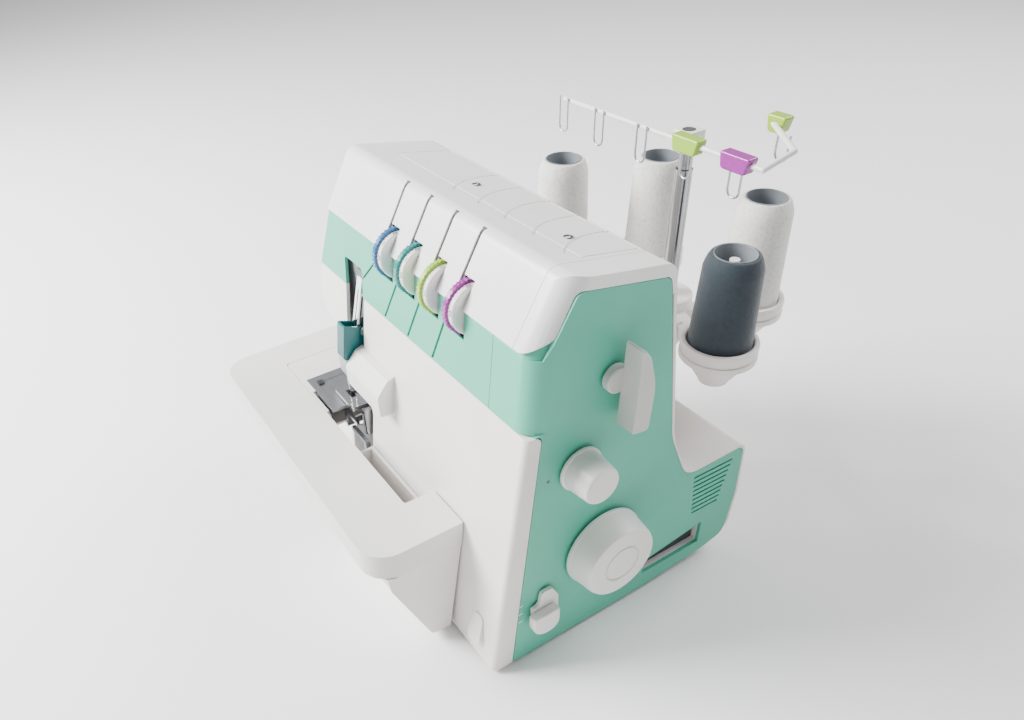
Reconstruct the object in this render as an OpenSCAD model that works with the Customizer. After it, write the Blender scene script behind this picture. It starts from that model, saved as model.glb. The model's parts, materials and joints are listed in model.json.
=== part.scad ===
// Serger (overlock machine), four threads, free-standing.
// Frame: X runs to the handwheel side, -Y is the operator's side, +Z is up.
// The modules are drawn round the middle of the housing, on the floor; placed() then
// moves them so that the origin is under the middle of the whole machine.

/* [Housing] */
// Width of the housing, end to end
body_w = 254; // [244:1:264]
// Height of the head at its front edge
head_h = 294.5; // [286:0.5:302]
// Drop of the head's top from its front edge to its rear edge
top_drop = 13.5; // [8:0.5:18]
// Height of the rear deck
deck_h = 105; // [100:0.5:109]
// Front of the base at the floor, ahead of the origin
base_front = 115; // [112:0.5:118]
// Back of the base, behind the origin
base_back = 116; // [110:0.5:122]
// Wall of the moulded covers
wall = 2.8; // [2.4:0.1:3.2]
// Radius of the housing's upright front corners
corner_r = 14; // [8:0.5:18]
// Height of the floor gap under the covers
floor_gap = 3; // [2.5:0.1:4]

/* [Extension table] */
// Height of the sewing surface
bed_h = 104.5; // [100:0.5:108]
// Reach of the table to the left of the origin
table_left = 212; // [206:1:220]
// Reach of the table to the right of the origin
table_right = 75; // [68:1:82]
// Reach of the table ahead of the origin
table_front = 172; // [166:1:178]
// Depth of the table's skirt
skirt_h = 21.5; // [16:0.5:26]
// Radius of the table's outer corners
table_r = 22; // [14:1:28]

/* [Dials and controls] */
// Radius of a tension dial
dial_r = 18; // [16:0.5:19]
// Distance between neighbouring tension dials
dial_pitch = 29.4; // [28:0.2:30]
// Largest radius of the handwheel
handwheel_r = 31; // [27:0.5:34]
// Width of the handwheel along its shaft
handwheel_w = 22; // [18:0.5:28]
// Radius of the stitch length knob at its base
knob_r = 15.5; // [13:0.5:18]
// Width of the stitch length knob along its spindle
knob_w = 22.5; // [18:0.5:26]

/* [Drive] */
// Diameter of the main shaft
shaft_d = 12; // [10:0.5:14]
// Radial running clearance of shafts and bars
running = 0.05; // [0.03:0.01:0.08]
// Radius of the driven pulley on the main shaft
pulley_r = 26; // [22:1:29]
// Radius of the motor's pulley
motor_pulley_r = 8; // [7:0.5:10]
// Diameter of the motor
motor_d = 56; // [48:1:60]

/* [Thread stand] */
// Height of the spool pads
pad_h = 160; // [154:1:166]
// Diameter of a spool pad
pad_d = 56; // [50:1:60]
// Height of a white thread spool
spool_h = 88; // [80:1:92]
// Height of the grey thread spool
grey_spool_h = 76; // [70:1:82]
// Diameter of a thread spool at its base
spool_d = 46; // [40:1:50]
// Diameter of a spool pin
pin_d = 7; // [6:0.5:9]
// Height of the thread guide bar
guide_h = 286; // [280:1:296]
// Outer width of the telescopic pole
pole_w = 13; // [11:0.5:15]

/* [Hidden] */
$fn = 48;

// Colours of the finishes
shell_white = "#e6e2dd";
mint = "#9fd6c4";
steel = "#b9bcc0";
dark_grey = "#4c5054";
slate = "#3c4a55";
alloy = "#9a9da1";

half_w = body_w / 2;
gap = 0.4;      // joint between neighbouring covers
eps = 0.01;

// Outline helpers -----------------------------------------------------------
function unit(v) = v / norm(v);
function flat(p) = [p.x, p.y];

// Arc that rounds the corner b between a and c
function corner_arc(a, b, c, r, steps = 6) =
  let (u = unit(a - b), v = unit(c - b), half = acos(u * v) / 2,
       m = b + unit(u + v) * r / sin(half),
       s = b + u * r / tan(half) - m, e = b + v * r / tan(half) - m,
       t0 = atan2(s.y, s.x), turn = (atan2(e.y, e.x) - t0 + 540) % 360 - 180)
  [for (i = [0:steps]) m + r * [cos(t0 + turn * i / steps), sin(t0 + turn * i / steps)]];

// Closed outline of [x, y, corner radius] points, its corners rounded
function rounded(p, steps = 6) =
  let (n = len(p))
  [for (i = [0:n - 1]) let (q = p[i])
    each (q.z > 0
      ? corner_arc(flat(p[(i + n - 1) % n]), flat(q), flat(p[(i + 1) % n]), q.z, steps)
      : [flat(q)])];

// Open path of [x, y, corner radius] points, its inner corners rounded
function rounded_path(p, steps = 6) =
  let (n = len(p))
  [for (i = [0:n - 1]) let (q = p[i])
    each (i > 0 && i < n - 1 && q.z > 0
      ? corner_arc(flat(p[i - 1]), flat(q), flat(p[i + 1]), q.z, steps)
      : [flat(q)])];

// The path moved d to its right-hand side
function beside(p, d) =
  let (n = len(p))
  [for (i = [0:n - 1])
    let (a = unit(flat(p[min(i + 1, n - 1)]) - flat(p[min(i, n - 2)])),
         b = unit(flat(p[max(i, 1)]) - flat(p[max(i - 1, 0)])),
         na = [a.y, -a.x], nb = [b.y, -b.x], m = (na + nb) / (1 + na * nb) * d,
         turn = b.x * a.y - b.y * a.x)
    [p[i].x + m.x, p[i].y + m.y, p[i].z > 0 ? max(0.5, p[i].z + (turn > 0 ? d : -d)) : 0]];

// Wall of thickness t along an open path, on its right-hand side
function strip(p, t, steps = 6) =
  let (outer = rounded_path(p, steps), inner = rounded_path(beside(p, t), steps))
  concat(outer, [for (i = [len(inner) - 1:-1:0]) inner[i]]);

// A side view (Y, Z) outline drawn out along X
module along_x(x0, x1) translate([x0, 0, 0]) rotate([90, 0, 90])
  linear_extrude(x1 - x0) children();
// A front view (X, Z) outline drawn out along Y
module along_y(y0, y1) translate([0, y1, 0]) rotate([90, 0, 0])
  linear_extrude(y1 - y0) children();
module rod_x(x0, x1, y, z, d) translate([x0, y, z]) rotate([0, 90, 0])
  cylinder(h = x1 - x0, d = d);
module box(a, b) translate(a) cube(b - a);

// Housing outline in side view ------------------------------------------------
band_low = [-base_front + 29, 202.5];     // lower edge of the mint band
band_high = [-81, head_h - 43.5];                   // upper edge of the mint band
cap_low = [-82.4, head_h - 40.9];                 // lower edge of the white cap
cap_top = [-58, head_h];
head_rear = [14.6, head_h - top_drop];
rear_low = [17.5, head_h - 33];           // where the cap meets the rear cover
column_foot = [34.4, 146];
door_foot = [-base_front, floor_gap];
door_head = [band_low.x, band_low.y - 0.7];
panel_front = [-98.4, floor_gap];
band_lean = atan2(band_high.x - band_low.x, band_high.y - band_low.y);
cap_lean = atan2(cap_top.x - cap_low.x, cap_top.y - cap_low.y);
band_right = 87.5;                        // seam of the band and the right cover
cap_right = 107.7;                        // seam of the cap and its corner piece
rim = 8;                                  // white rim round the mint panel
throat_h = 158;                           // underside of the head at the needles
throat_right = -62.4;                     // upright wall beside the throat
door_left = -76;

// Left end of the head in front view: it flares outwards towards the throat
left_end = [[-half_w, head_h + 5, 0], [-half_w, cap_low.y, 40], [-half_w - 23, 203, 30],
  [-half_w - 28, (throat_h + band_low.y) / 2 + 0.75, 12], [-half_w - 17, throat_h + 7, 12], [-half_w + 5, throat_h, 20],
  [throat_right, throat_h - 1, 0]];

function door_y(z) = door_foot.x
  + (door_head.x - door_foot.x) * (z - door_foot.y) / (door_head.y - door_foot.y);

// Keeps what lies right of the flared left end, d inside its skin
module within_left_end(d = 0) intersection() {
  children();
  along_y(-200, 200) polygon(concat(
    rounded_path(beside([for (i = [len(left_end) - 1:-1:0]) left_end[i]], d)),
    [[half_w + 50, head_h + 5], [half_w + 50, throat_h - 1]]));
}

// Rounds the upright front right corner of a wall that leans back by a
module right_corner(lean, foot, d = 0) intersection() {
  children();
  translate([0, foot.x, foot.y]) rotate([-lean, 0, 0]) translate([0, 0, -60])
    linear_extrude(170) polygon(rounded([[half_w - d, d, corner_r - d], [half_w - d, 300, 0],
      [-half_w - 60, 300, 0], [-half_w - 60, d, 0]], 8));
}

// Mint side panel in side view
panel_outline = [panel_front, [23, floor_gap], [88, floor_gap + 5], [108, floor_gap + 10],
  [base_back - 2.6, 54], [base_back - 5, deck_h - 2.5], [52, deck_h - 2.5], [31.8, 148],
  [head_rear.x - 0.1, head_h - 36], [head_rear.x - 3, head_h - top_drop - rim],
  [cap_top.x + 4.5, head_h - rim - 0.8], [-75.5, band_high.y - 2], [-80.5, band_high.y - 2],
  [band_low.x, band_low.y], [-75.2, band_low.y], [-76, 196]];
panel_radii = [3, 150, 60, 9, 60, 7, 18, 50, 0, 6, 6, 3, 0, 0, 0, 0];

// Controls on the right cover -------------------------------------------------
shaft_y = -24;
shaft_z = 82;
knob_y = -47.5;
knob_z = 164.5;
lifter_y = -26.5;
lifter_z = 223.6;
lever_y = -76;
lever_z = 50;
inlet = [[22, 19], [80, 19], [80, 41], [22, 33]];   // recess for the power inlet
vent_count = 8;
shaft_hole = shaft_d + 6;
spindle_d = 8;

// The mint skin bends at the top of the band and runs up behind the cap
function skin_path(reach) = [[band_low.x, band_low.y, 0], [band_high.x - 0.1, band_high.y - 0.5, 3],
  [band_high.x - 0.1 + reach * sin(cap_lean), band_high.y - 0.5 + reach * cos(cap_lean), 0]];
skin = 2.5;

module right_cover() color(mint) difference() {
  union() {
    intersection() {
      side_panel();
      box([0, -200, 0], [200, 200, band_low.y]);
    }
    right_corner(band_lean, band_low) intersection() {
      side_panel();
      box([0, -200, band_low.y - eps], [200, 200, head_h]);
    }
    right_corner(band_lean, band_low) along_x(band_right + gap, half_w)
      polygon([[band_low.x, band_low.y], [band_high.x - 0.1, band_high.y - 0.5],
        [band_low.x + 22, band_high.y - 0.5], [band_low.x + 22, band_low.y]]);
    right_corner(cap_lean, cap_low, cap_wall + gap) along_x(band_right + gap, half_w)
      polygon([[band_high.x - 0.1, band_high.y - 0.5 - eps],
        [band_high.x - 0.1 + 23 * sin(cap_lean), band_high.y - 0.5 + 23 * cos(cap_lean)],
        [band_low.x + 36, band_high.y + 19], [band_low.x + 22, band_high.y - 0.5 - eps]]);
  }
  // hollow behind the rounded corner
  right_corner(band_lean, band_low, skin)
    along_x(band_right - 1, half_w - wall) polygon([[band_low.x - 1, band_low.y - 1],
      [band_high.x - 1, band_high.y - 3], [0, band_high.y - 3], [0, band_low.y - 1]]);
  right_corner(cap_lean, cap_low, cap_wall + gap + skin)
    along_x(band_right - 1, half_w - wall) polygon([[band_high.x - 10, band_high.y - 3 - eps],
      [-20, head_h + 30], [10, head_h + 8], [10, band_high.y - 3 - eps]]);
  rod_x(half_w - 10, half_w + 10, shaft_y, shaft_z, shaft_hole);
  rod_x(half_w - 10, half_w + 10, knob_y, knob_z, spindle_d + 2);
  rod_x(half_w - 10, half_w + 10, lifter_y, lifter_z, spindle_d + 2);
  rod_x(half_w - 10, half_w + 10, lever_y + 10, lever_z, spindle_d - 1);
  along_x(half_w - 10, half_w + 10) polygon(inlet);
  for (i = [0:vent_count - 1]) translate([half_w - 10, 60 + 1.6 * i, 104 - 5.6 * i])
    rotate([18, 0, 0]) cube([20, 34, 1.6]);
}
module side_panel() along_x(half_w - wall, half_w)
  polygon(rounded([for (i = [0:len(panel_outline) - 1])
    [panel_outline[i].x, panel_outline[i].y, panel_radii[i]]]));

module top_cap() color(shell_white) difference() {
  within_left_end() along_x(-half_w - 5, cap_right)
    polygon(strip(cap_profile, cap_wall));
  for (i = [0:3]) dial_cut(i);
  rod_x(-60, 70, dial_y, dial_z, 9.6);
  // thread guide ramps: shallow arcs across the top
  for (i = [0:4]) guide_ramp(-16.4 + 28.1 * i);
  top_tilt() translate([-100, 24, -0.8]) difference() {
    cube([204, 44, 2]);
    translate([1.2, 1.2, -1]) cube([204 - 2.4, 44 - 2.4, 4]);
  }
}

// Places a child on the sloping top: X as before, Y back from the front edge
module top_tilt() translate([0, cap_top.x, cap_top.y])
  rotate([atan2(-top_drop, head_rear.x - cap_top.x), 0, 0]) children();

ramp_r = 58;
module guide_ramp(x) top_tilt() translate([x + 37.4, 63, -0.8]) difference() {
  intersection() {
    cylinder(h = 3, r = ramp_r + 0.7);
    translate([-ramp_r - 2, -44, -1]) cube([ramp_r, 54, 5]);
  }
  translate([0, 0, -1]) cylinder(h = 5, r = ramp_r - 0.7);
}

cap_profile = [[cap_low.x, cap_low.y, 0], [cap_top.x, cap_top.y, 9],
  [head_rear.x, head_rear.y, 10], [rear_low.x, rear_low.y, 0]];
module cap_corner() color(shell_white) difference() {
  right_corner(cap_lean, cap_low) along_x(cap_right + gap, half_w) polygon(rounded(cap_profile));
  right_corner(cap_lean, cap_low, cap_wall) along_x(cap_right - 5, half_w - wall)
    polygon([[cap_low.x - 3, cap_low.y - 9], [cap_top.x - 12, cap_top.y + 2.2 - cap_wall],
      [head_rear.x - cap_wall, head_rear.y + 0.4 - cap_wall], [rear_low.x - cap_wall, rear_low.y],
      [rear_low.x - cap_wall, rear_low.y - 9]]);
  // opening for the side panel
  along_x(half_w - wall - 1, half_w + 1) polygon(rounded([[-86, cap_low.y - 21.6, 0],
    [cap_low.x + 8.5, cap_low.y - 2, 4], [cap_top.x + 4.5 - gap, head_h - rim - 0.8 + gap, 6],
    [head_rear.x - 3 + gap, head_h - top_drop - rim + gap, 6],
    [head_rear.x + 0.4, head_h - 36, 0], [head_rear.x + 4, cap_low.y - 21.6, 0]]));
  // rounded lower corner of the cap, seen from the front
  along_y(-120, -60) difference() {
    translate([half_w - 16, cap_low.y - 10]) square([40, 26]);
    translate([half_w - 16, cap_low.y + 16]) circle(r = 16);
  }
}
cap_wall = 2.3;

module front_band() color(mint) difference() {
  within_left_end() along_x(-half_w - 40, band_right)
    polygon(strip(skin_path(5), skin));
  for (i = [0:3]) dial_cut(i);
  for (i = [1:3]) thread_channel(i);
  pocket_channel();
  rod_x(-60, 70, dial_y, dial_z, 9.6);
  pocket_cut();
}

// Tension dials ----------------------------------------------------------------
dial_y = -73.5;
dial_z = head_h - 44;
dial_w = 8.8;
dial_rim = 4.2;                           // width of a dial's coloured rim
dial_step = 2;                            // rim's height over the barrel
function slot_x(i) = -42 + dial_pitch * i;
function dial_x(i) = slot_x(i) + 2.6;
slot_w = 2.6;

// Slot and window through which a dial and its thread path show
module dial_cut(i) {
  along_x(slot_x(i) - slot_w / 2, dial_x(i) + dial_w + 0.8) translate([dial_y, dial_z])
    circle(r = dial_r + 1);
  box([slot_x(i) - slot_w / 2, -100, dial_z], [slot_x(i) + slot_w / 2, cap_top.x + 1, head_h + 1]);
}

// Lower thread channels: the first runs to the needle pocket, the others down to the looper area
channel_w = 2.2;
channel_top = band_high.y - 4;
channel_low = band_low.y + 0.9;
function channel_run(i) = 27.5 - 3 * i;
module thread_channel(i) {
  top = slot_x(i) - 6.5;
  low = top - channel_run(i);
  along_y(-100, -70) polygon([[top, channel_top], [top + channel_w, channel_top],
    [low + channel_w, channel_low], [low, channel_low]]);
}
module pocket_channel() along_y(-100, -70) polygon([[slot_x(0) - 6.5, channel_top],
  [slot_x(0) - 6.5 + channel_w, channel_top], [pocket_right - 1 + channel_w, pocket_top - 8],
  [pocket_right - 1, pocket_top - 8]]);

module dial(i, tint) color(tint) difference() {
  union() {
    rod_x(dial_x(i), dial_x(i) + dial_rim, dial_y, dial_z, 2 * dial_r);
    rod_x(dial_x(i) + dial_rim, dial_x(i) + dial_w, dial_y, dial_z, 2 * (dial_r - dial_step));
  }
  rod_x(dial_x(i) - 1, dial_x(i) + dial_w + 1, dial_y, dial_z, post_d + 2 * running);
}
module dial_blue() dial(0, "#3f78b8");
module dial_teal() dial(1, "#1c9a94");
module dial_lime() dial(2, "#a9c63d");
module dial_magenta() dial(3, "#b23aa6");

post_d = 6;
// Tension discs and their posts, one set beside each dial
module tension_discs() color(steel) for (i = [0:3]) {
  rod_x(slot_x(i) - 9.6, dial_x(i) + dial_w + 1.5, dial_y, dial_z, post_d);
  for (s = [-1, 1]) rod_x(slot_x(i) - 3.2 + 1.7 * s, slot_x(i) - 2 + 1.7 * s, dial_y, dial_z, 8);
  box([slot_x(i) - 9.6, dial_y - 2.9, dial_z - 4], [slot_x(i) - 7.6, tower_front + 3, dial_z + 3]);
}

// Left end and rear --------------------------------------------------------------
pocket_left = -105;
pocket_right = -77;
pocket_top = band_high.y - 26;
module pocket_cut() along_y(-130, -70)
  polygon(rounded([[pocket_left, 100, 0], [pocket_right, 100, 0], [pocket_right, pocket_top, 3],
    [pocket_left, pocket_top, 3]]));

module left_cover() color(shell_white) difference() {
  union() {
    // end skin and underside
    intersection() {
      along_y(-90, 60) polygon(strip(
        [for (i = [len(left_end) - 1:-1:0]) left_end[i]], wall));
      along_x(-half_w - 40, throat_right) polygon(
        [[band_low.x - 6, throat_h - 5], [band_low.x + 0.3, band_low.y - gap],
         [band_low.x + 3.2, band_low.y - gap], [band_high.x + 3.2, band_high.y - 1],
         [band_high.x + 7, band_high.y + 4], [cap_top.x + 4, head_h - 6],
         [head_rear.x - 6, head_rear.y - 4], [rear_low.x - wall - 0.8, rear_low.y],
         [29.5, throat_h], [29.5, throat_h - 5]]);
    }
    // cheek below the mint band
    within_left_end() along_x(-half_w - 40, pocket_left - gap) polygon(strip(
      [[door_y(throat_h - 2) + 0.6, throat_h - 2, 0], [band_low.x, band_low.y - gap, 0]], wall));
  }
  box([-119, -100, throat_h - 8], [-60, tower_front + 5, throat_h + 7]);
}

module rear_cover() color(shell_white) difference() {
  union() {
    intersection() {
      rear_shell(-half_w, half_w);
      union() {
        box([throat_right - wall, -200, 0], [200, 200, 300]);
        box([-200, 62, 0], [200, 200, 300]);
      }
    }
    within_left_end() intersection() {
      rear_shell(-half_w - 40, throat_right);
      box([-200, -200, throat_h - 2], [200, 200, 300]);
    }
  }
  // the mint panel sits inside a narrow rim
  along_x(half_w - wall - gap, half_w + 1) polygon(rounded([[-90, 0, 0], [100, 0, 0],
    [108.5, floor_gap + 9.6, 9], [base_back - 2.2, 53, 60], [base_back - 4.6, deck_h - 2.1, 7],
    [52.3, deck_h - 2.1, 17.6], [32.3, 148, 50], [15, head_h - 33.2, 0], [15, head_h - 20, 0],
    [-90, head_h, 0]]));
  for (s = [-1, 1]) translate([pole_x + s * stand_screw_x, stand_y, deck_h - 10])
    cylinder(h = 20, d = 4.4);
}
module rear_shell(x0, x1) along_x(x0, x1) polygon(strip([[rear_low.x, rear_low.y - gap, 0],
  [column_foot.x, column_foot.y, 60], [52.5, deck_h, 18], [base_back - 3, deck_h, 8],
  [base_back, 54, 60], [base_back - 3, 22, 8], [100, floor_gap + 7, 0]], wall));

// Closes the base at the left: bed behind the needles, throat wall and end wall
module base_cover() color(shell_white) {
  along_x(-half_w, -half_w + wall) polygon([[panel_front.x, floor_gap], [23, floor_gap],
    [88, floor_gap + 5], [97, floor_gap + 9.5], [base_back - 6.5, 24], [base_back - 3.4, 54],
    [base_back - 7, 90], [base_back - 14, deck_h - wall - 1], [52, deck_h - wall - 1], [52, bed_h - wall + eps],
    [bed_back + gap, bed_h - wall + eps], [bed_back + gap, 52], [panel_front.x + 5, 52]]);
  box([-half_w, bed_back + gap, bed_h - wall], [throat_right - wall - gap, 62 - gap, bed_h]);
  box([-half_w + eps, bed_back + gap, bed_h - wall], [throat_right, 44, bed_h]);
  along_x(throat_right - wall, throat_right) polygon([[-74, bed_h - eps], [43, bed_h - eps],
    [34.5, 124], [28.5, throat_h - 2], [-74, throat_h - 2]]);
}

// Structure -----------------------------------------------------------------------
tower_front = -58;
tower_back = 8;
wall_right = [84, 92];
wall_left = [-62, -54];
floor_z = [10, 16];
beam_z = [head_h - 58.5, head_h - 44.5];      // beams of the chassis under the cap
guide_low = throat_h + 8;                     // foot of the needle bar's guide block
bush_d = shaft_d + 8;

module bottom_plate() color("#c9c7c2") difference() {
  along_x(-half_w + wall + 0.2, half_w - wall - 0.2) polygon([[-base_front + 12, 4.5], [80, 4.5],
    [96, 9], [96, floor_z.x], [-base_front + 12, floor_z.x]]);
  for (f = feet) translate([f.x, f.y, 0]) cylinder(h = 20, d = 8);
}

feet = [[-108, -84], [108, -84], [-108, 78], [108, 78]];
module rubber_feet() color(dark_grey) for (f = feet) translate([f.x, f.y, 0]) {
  cylinder(h = 4.5, d1 = 15, d2 = 18);
  cylinder(h = floor_z.x, d = 8);
}

module chassis() color(alloy) difference() {
  union() {
    box([-118, -92, floor_z.x], [106, 92, floor_z.y]);
    for (w = [wall_left, wall_right])
      along_x(w.x, w.y) polygon(rounded([[-78, floor_z.y - eps, 0], [60, floor_z.y - eps, 0],
        [28, 100, 30], [tower_back, 190, 0], [tower_back, beam_z.y, 8], [tower_front, beam_z.y, 8],
        [tower_front, 120, 20]]));
    // beams that tie the two walls and reach over the needles
    box([wall_left.y - eps, -14, beam_z.x], [wall_right.x + eps, 2, beam_z.y]);
    box([-118, tower_front, beam_z.x], [wall_left.x + eps, tower_back, beam_z.y]);
    box([wall_left.y - eps, 14, floor_z.y - eps], [wall_right.x + eps, 20, 38]);
    // needle bar guide block
    box([-118, -79, guide_low], [-66, tower_front + 4, beam_z.x + eps]);
    box([-66 - eps, tower_front, guide_low], [wall_left.x + eps, tower_back, guide_low + 14]);
    // motor bed
    box([-20, 42, floor_z.y - eps], [62, 96, 22]);
    // bracket under the bed
    box([-150, -70, bed_h - 38.5], [wall_left.x + eps, -62, bed_h - 6.5]);
    box([-150, -112, bed_h - 14.5], [-130, -70 + eps, bed_h - 6.5]);
    box([-118, -70, floor_z.x], [-100, -62, bed_h - 38.5 + eps]);
    // tension block
    box([wall_left.y - eps, tower_front + 3, beam_z.x], [wall_right.x + eps, tower_front + 14, beam_z.y + 8]);
  }
  rod_x(wall_left.x - 1, wall_right.y + 1, shaft_y, shaft_z, bush_d);
  for (p = plate_holes) translate([p.x, p.y, bed_h - 12.5]) cylinder(h = 10, d = 3.2);
  bar_hole(needle_bar_x, needle_bar_y, bar_d);
  bar_hole(presser_x, presser_y, bar_d);
  rod_x(wall_right.x - 1, wall_right.y + 1, knob_y, knob_z, spindle_d + 2 * running);
  rod_x(wall_right.x - 1, wall_right.y + 1, lifter_y, lifter_z, spindle_d + 2 * running);
}
module bar_hole(x, y, d) translate([x, y, 150]) cylinder(h = 120, d = d + 2 * running);

module shaft_bushes() color("#b08d4a") for (w = [wall_left, wall_right]) difference() {
  rod_x(w.x - 2, w.y + 2, shaft_y, shaft_z, bush_d);
  rod_x(w.x - 3, w.y + 3, shaft_y, shaft_z, shaft_d + 2 * running);
}

// Needle and presser group ------------------------------------------------------------
bar_d = 7;
needle_bar_x = -99;
needle_bar_y = -72;
presser_x = -84;
presser_y = -66;
needle_y = -98;
needle_d = 2;
clamp_z = [bed_h + 25.5, bed_h + 42.5];
foot_top = bed_h + 17.5;

module needle_pocket() color(dark_grey) difference() {
  union() {
    box([pocket_left + gap, -80.8, throat_h + 8], [pocket_right - gap, -79, pocket_top - 6]);
    // lugs that carry the eye guard's pins
    for (x = [guard_left - 2.2, guard_right + 0.4]) along_x(x, x + 1.8)
      polygon(rounded([[-80 + eps, guard_pivot.y - 4, 0], [guard_pivot.x - 3.4, guard_pivot.y - 3.4, 3],
        [guard_pivot.x - 3.4, guard_pivot.y + 3.4, 3], [-80 + eps, guard_pivot.y + 5, 0]]));
  }
  bar_hole(needle_bar_x, needle_bar_y, 20);
  rod_x(guard_left - 5, guard_right + 5, guard_pivot.x, guard_pivot.y, guard_pin + 2 * running);
}

module take_up_guide() color(steel) translate([-86.6, -94.5, 168]) rotate([-12, 5, 0]) difference() {
  box([-3.5, 0, 0], [3.5, 3, 50]);
  box([-0.8, -1, 6], [0.8, 4, 40]);
}

module needle_bar() color(steel) translate([needle_bar_x, needle_bar_y, clamp_z.y - 7])
  cylinder(h = beam_z.x - 8 - clamp_z.y + 7, d = bar_d);
module needle_clamp() color(steel) difference() {
  box([needle_bar_x - 7, needle_y - 4, clamp_z.x], [needle_bar_x + 7, needle_bar_y + 6, clamp_z.y]);
  for (s = [-1, 1]) translate([needle_bar_x + 3 * s, needle_y + s, clamp_z.x - 10])
    cylinder(h = 19.5, d = needle_d);
  translate([needle_bar_x, needle_bar_y, clamp_z.y - 7]) cylinder(h = 10, d = bar_d);
}
module needles() color(steel) for (s = [-1, 1])
  translate([needle_bar_x + 3 * s, needle_y + s, 0]) {
    translate([0, 0, clamp_z.x - 4]) cylinder(h = 13.5, d = needle_d);
    translate([0, 0, clamp_z.x - 18]) cylinder(h = 14 + eps, d1 = 0.5, d2 = 1.2, $fn = 24);
  }

module presser_bar() color(steel) translate([presser_x, presser_y, foot_top])
  cylinder(h = beam_z.x + 8 - foot_top, d = bar_d);
module presser_foot() color(steel) {
  box([presser_x - 5, presser_y - 5, foot_top - 7], [presser_x + 5, presser_y + 5, foot_top]);
  difference() {
    box([-112, -108, bed_h + 1.5 + eps], [-79, -60, bed_h + 4.5]);
    box([-105, -102, bed_h], [-93, -93, bed_h + 6]);
  }
  box([presser_x - 4, presser_y - 8, bed_h + 4], [presser_x + 4, presser_y + 4, foot_top - 7 + eps]);
}

module presser_lifter() color("#c8c6c4") difference() {
  union() {
    rod_x(wall_right.x - 8, half_w + 7, lifter_y, lifter_z, spindle_d);
    rod_x(half_w + 1, half_w + 7, lifter_y, lifter_z, 22);
    // fin-shaped handle
    translate([half_w + 6, 0, 0]) along_x(0, 15) polygon(rounded(
      [[-27, 254, 1], [-18, 244, 3], [-11.5, 222, 30], [-13, 190, 3], [-20, 188, 1],
       [-29, 192, 1], [-29, 236, 8]]));
  }
}

module upper_knife() color(steel) {
  box([-70, -102.4, 88], [-66, -92, 112]);
  box([-70, -92 - eps, 74], [-64, -73, 96]);
}
module lower_knife() color("#8f9296") {
  box([-76, -102.4, 84], [-72.4, -90, bed_h - 0.3]);
  box([-80, -92, 66], [-72.4, -70, 92]);
}

module upper_looper() color(steel) {
  rod_y(-108, -72, -66, 58, 5);
  box([-68, -108, 58], [-64, -104, 84]);
  box([-90, -107.6, 80], [-66, -104.2, 84]);
}
module lower_looper() color(steel) {
  rod_y(-100, -73, -122, 62, 5);
  box([-124, -99, 62], [-120, -95, 76]);
  box([-124, -99, 74], [-100, -96.2, 77]);
}
module rod_y(y0, y1, x, z, d) translate([x, y0, z]) rotate([-90, 0, 0])
  cylinder(h = y1 - y0, d = d);

module feed_dogs() color("#7d8084") {
  for (x = [-116, -109, -89]) difference() {
    box([x, -94, bed_h - 16.5], [x + 4, -72, bed_h + 0.6]);
    for (k = [0:6]) translate([x - 1, -92 + 3 * k, bed_h + 0.6]) rotate([45, 0, 0])
      cube([6, 1.2, 1.2]);
  }
  box([-116, -78, bed_h - 20.5], [-85, -72, bed_h - 16.5 + eps]);
}

module needle_plate() color(steel) difference() {
  box([-145, -120, bed_h - 3], [-93 + 15, -66, bed_h]);
  for (x = [-116, -109, -89]) box([x - 0.8, -98, bed_h - 5], [x + 4.8, -68, bed_h + 1]);
  box([-104.5, -101, bed_h - 5], [-93.5, -95, bed_h + 1]);
  box([-93, -121, bed_h - 5], [-77, -99, bed_h + 1]);
  for (p = plate_holes) translate([p.x, p.y, bed_h - 5]) cylinder(h = 10, d = 3.2);
}
plate_holes = [[-134, -112], [-134, -74]];
module plate_screws() color("#6e7175") for (p = plate_holes) translate([p.x, p.y, 0]) difference() {
  union() {
    translate([0, 0, bed_h]) cylinder(h = 1.4, d = 6.4);
    translate([0, 0, bed_h - 7]) cylinder(h = 7 + eps, d = 3.2);
  }
  box([-4, -0.5, bed_h + 0.7], [4, 0.5, bed_h + 3]);
}

// Bed at the left --------------------------------------------------------------------
bed_left = -178;
bed_front = -125;
bed_back = -34;
module fabric_plate() color(shell_white) difference() {
  translate([0, 0, bed_h - 6.5]) linear_extrude(6.5) polygon(rounded(
    [[bed_left, bed_front, 4], [-94, bed_front, 0], [-94, -120 - 2, 0], [-77.6, -120 - 2, 0],
     [-77.6, bed_back, 0], [bed_left, bed_back, 4]]));
  box([-145.3, -120.3, bed_h - 3.1], [-77, -65.7, bed_h + 1]);
  box([-126, -123, bed_h - 8], [-77, -68, bed_h]);
  for (p = plate_holes) translate([p.x, p.y, bed_h - 8]) cylinder(h = 10, d = 3.2);
}

module bed_housing() color(shell_white) difference() {
  box([bed_left + 2, bed_front + 1.5, 56], [-96, bed_back - 2, bed_h - 6.5]);
  box([bed_left + 2 + wall, bed_front + 1.5 + wall, 56 + wall], [-90, bed_back - 2 - wall, bed_h]);
  box([-132, -117, 50], [-90, -58, 60]);
}

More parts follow.
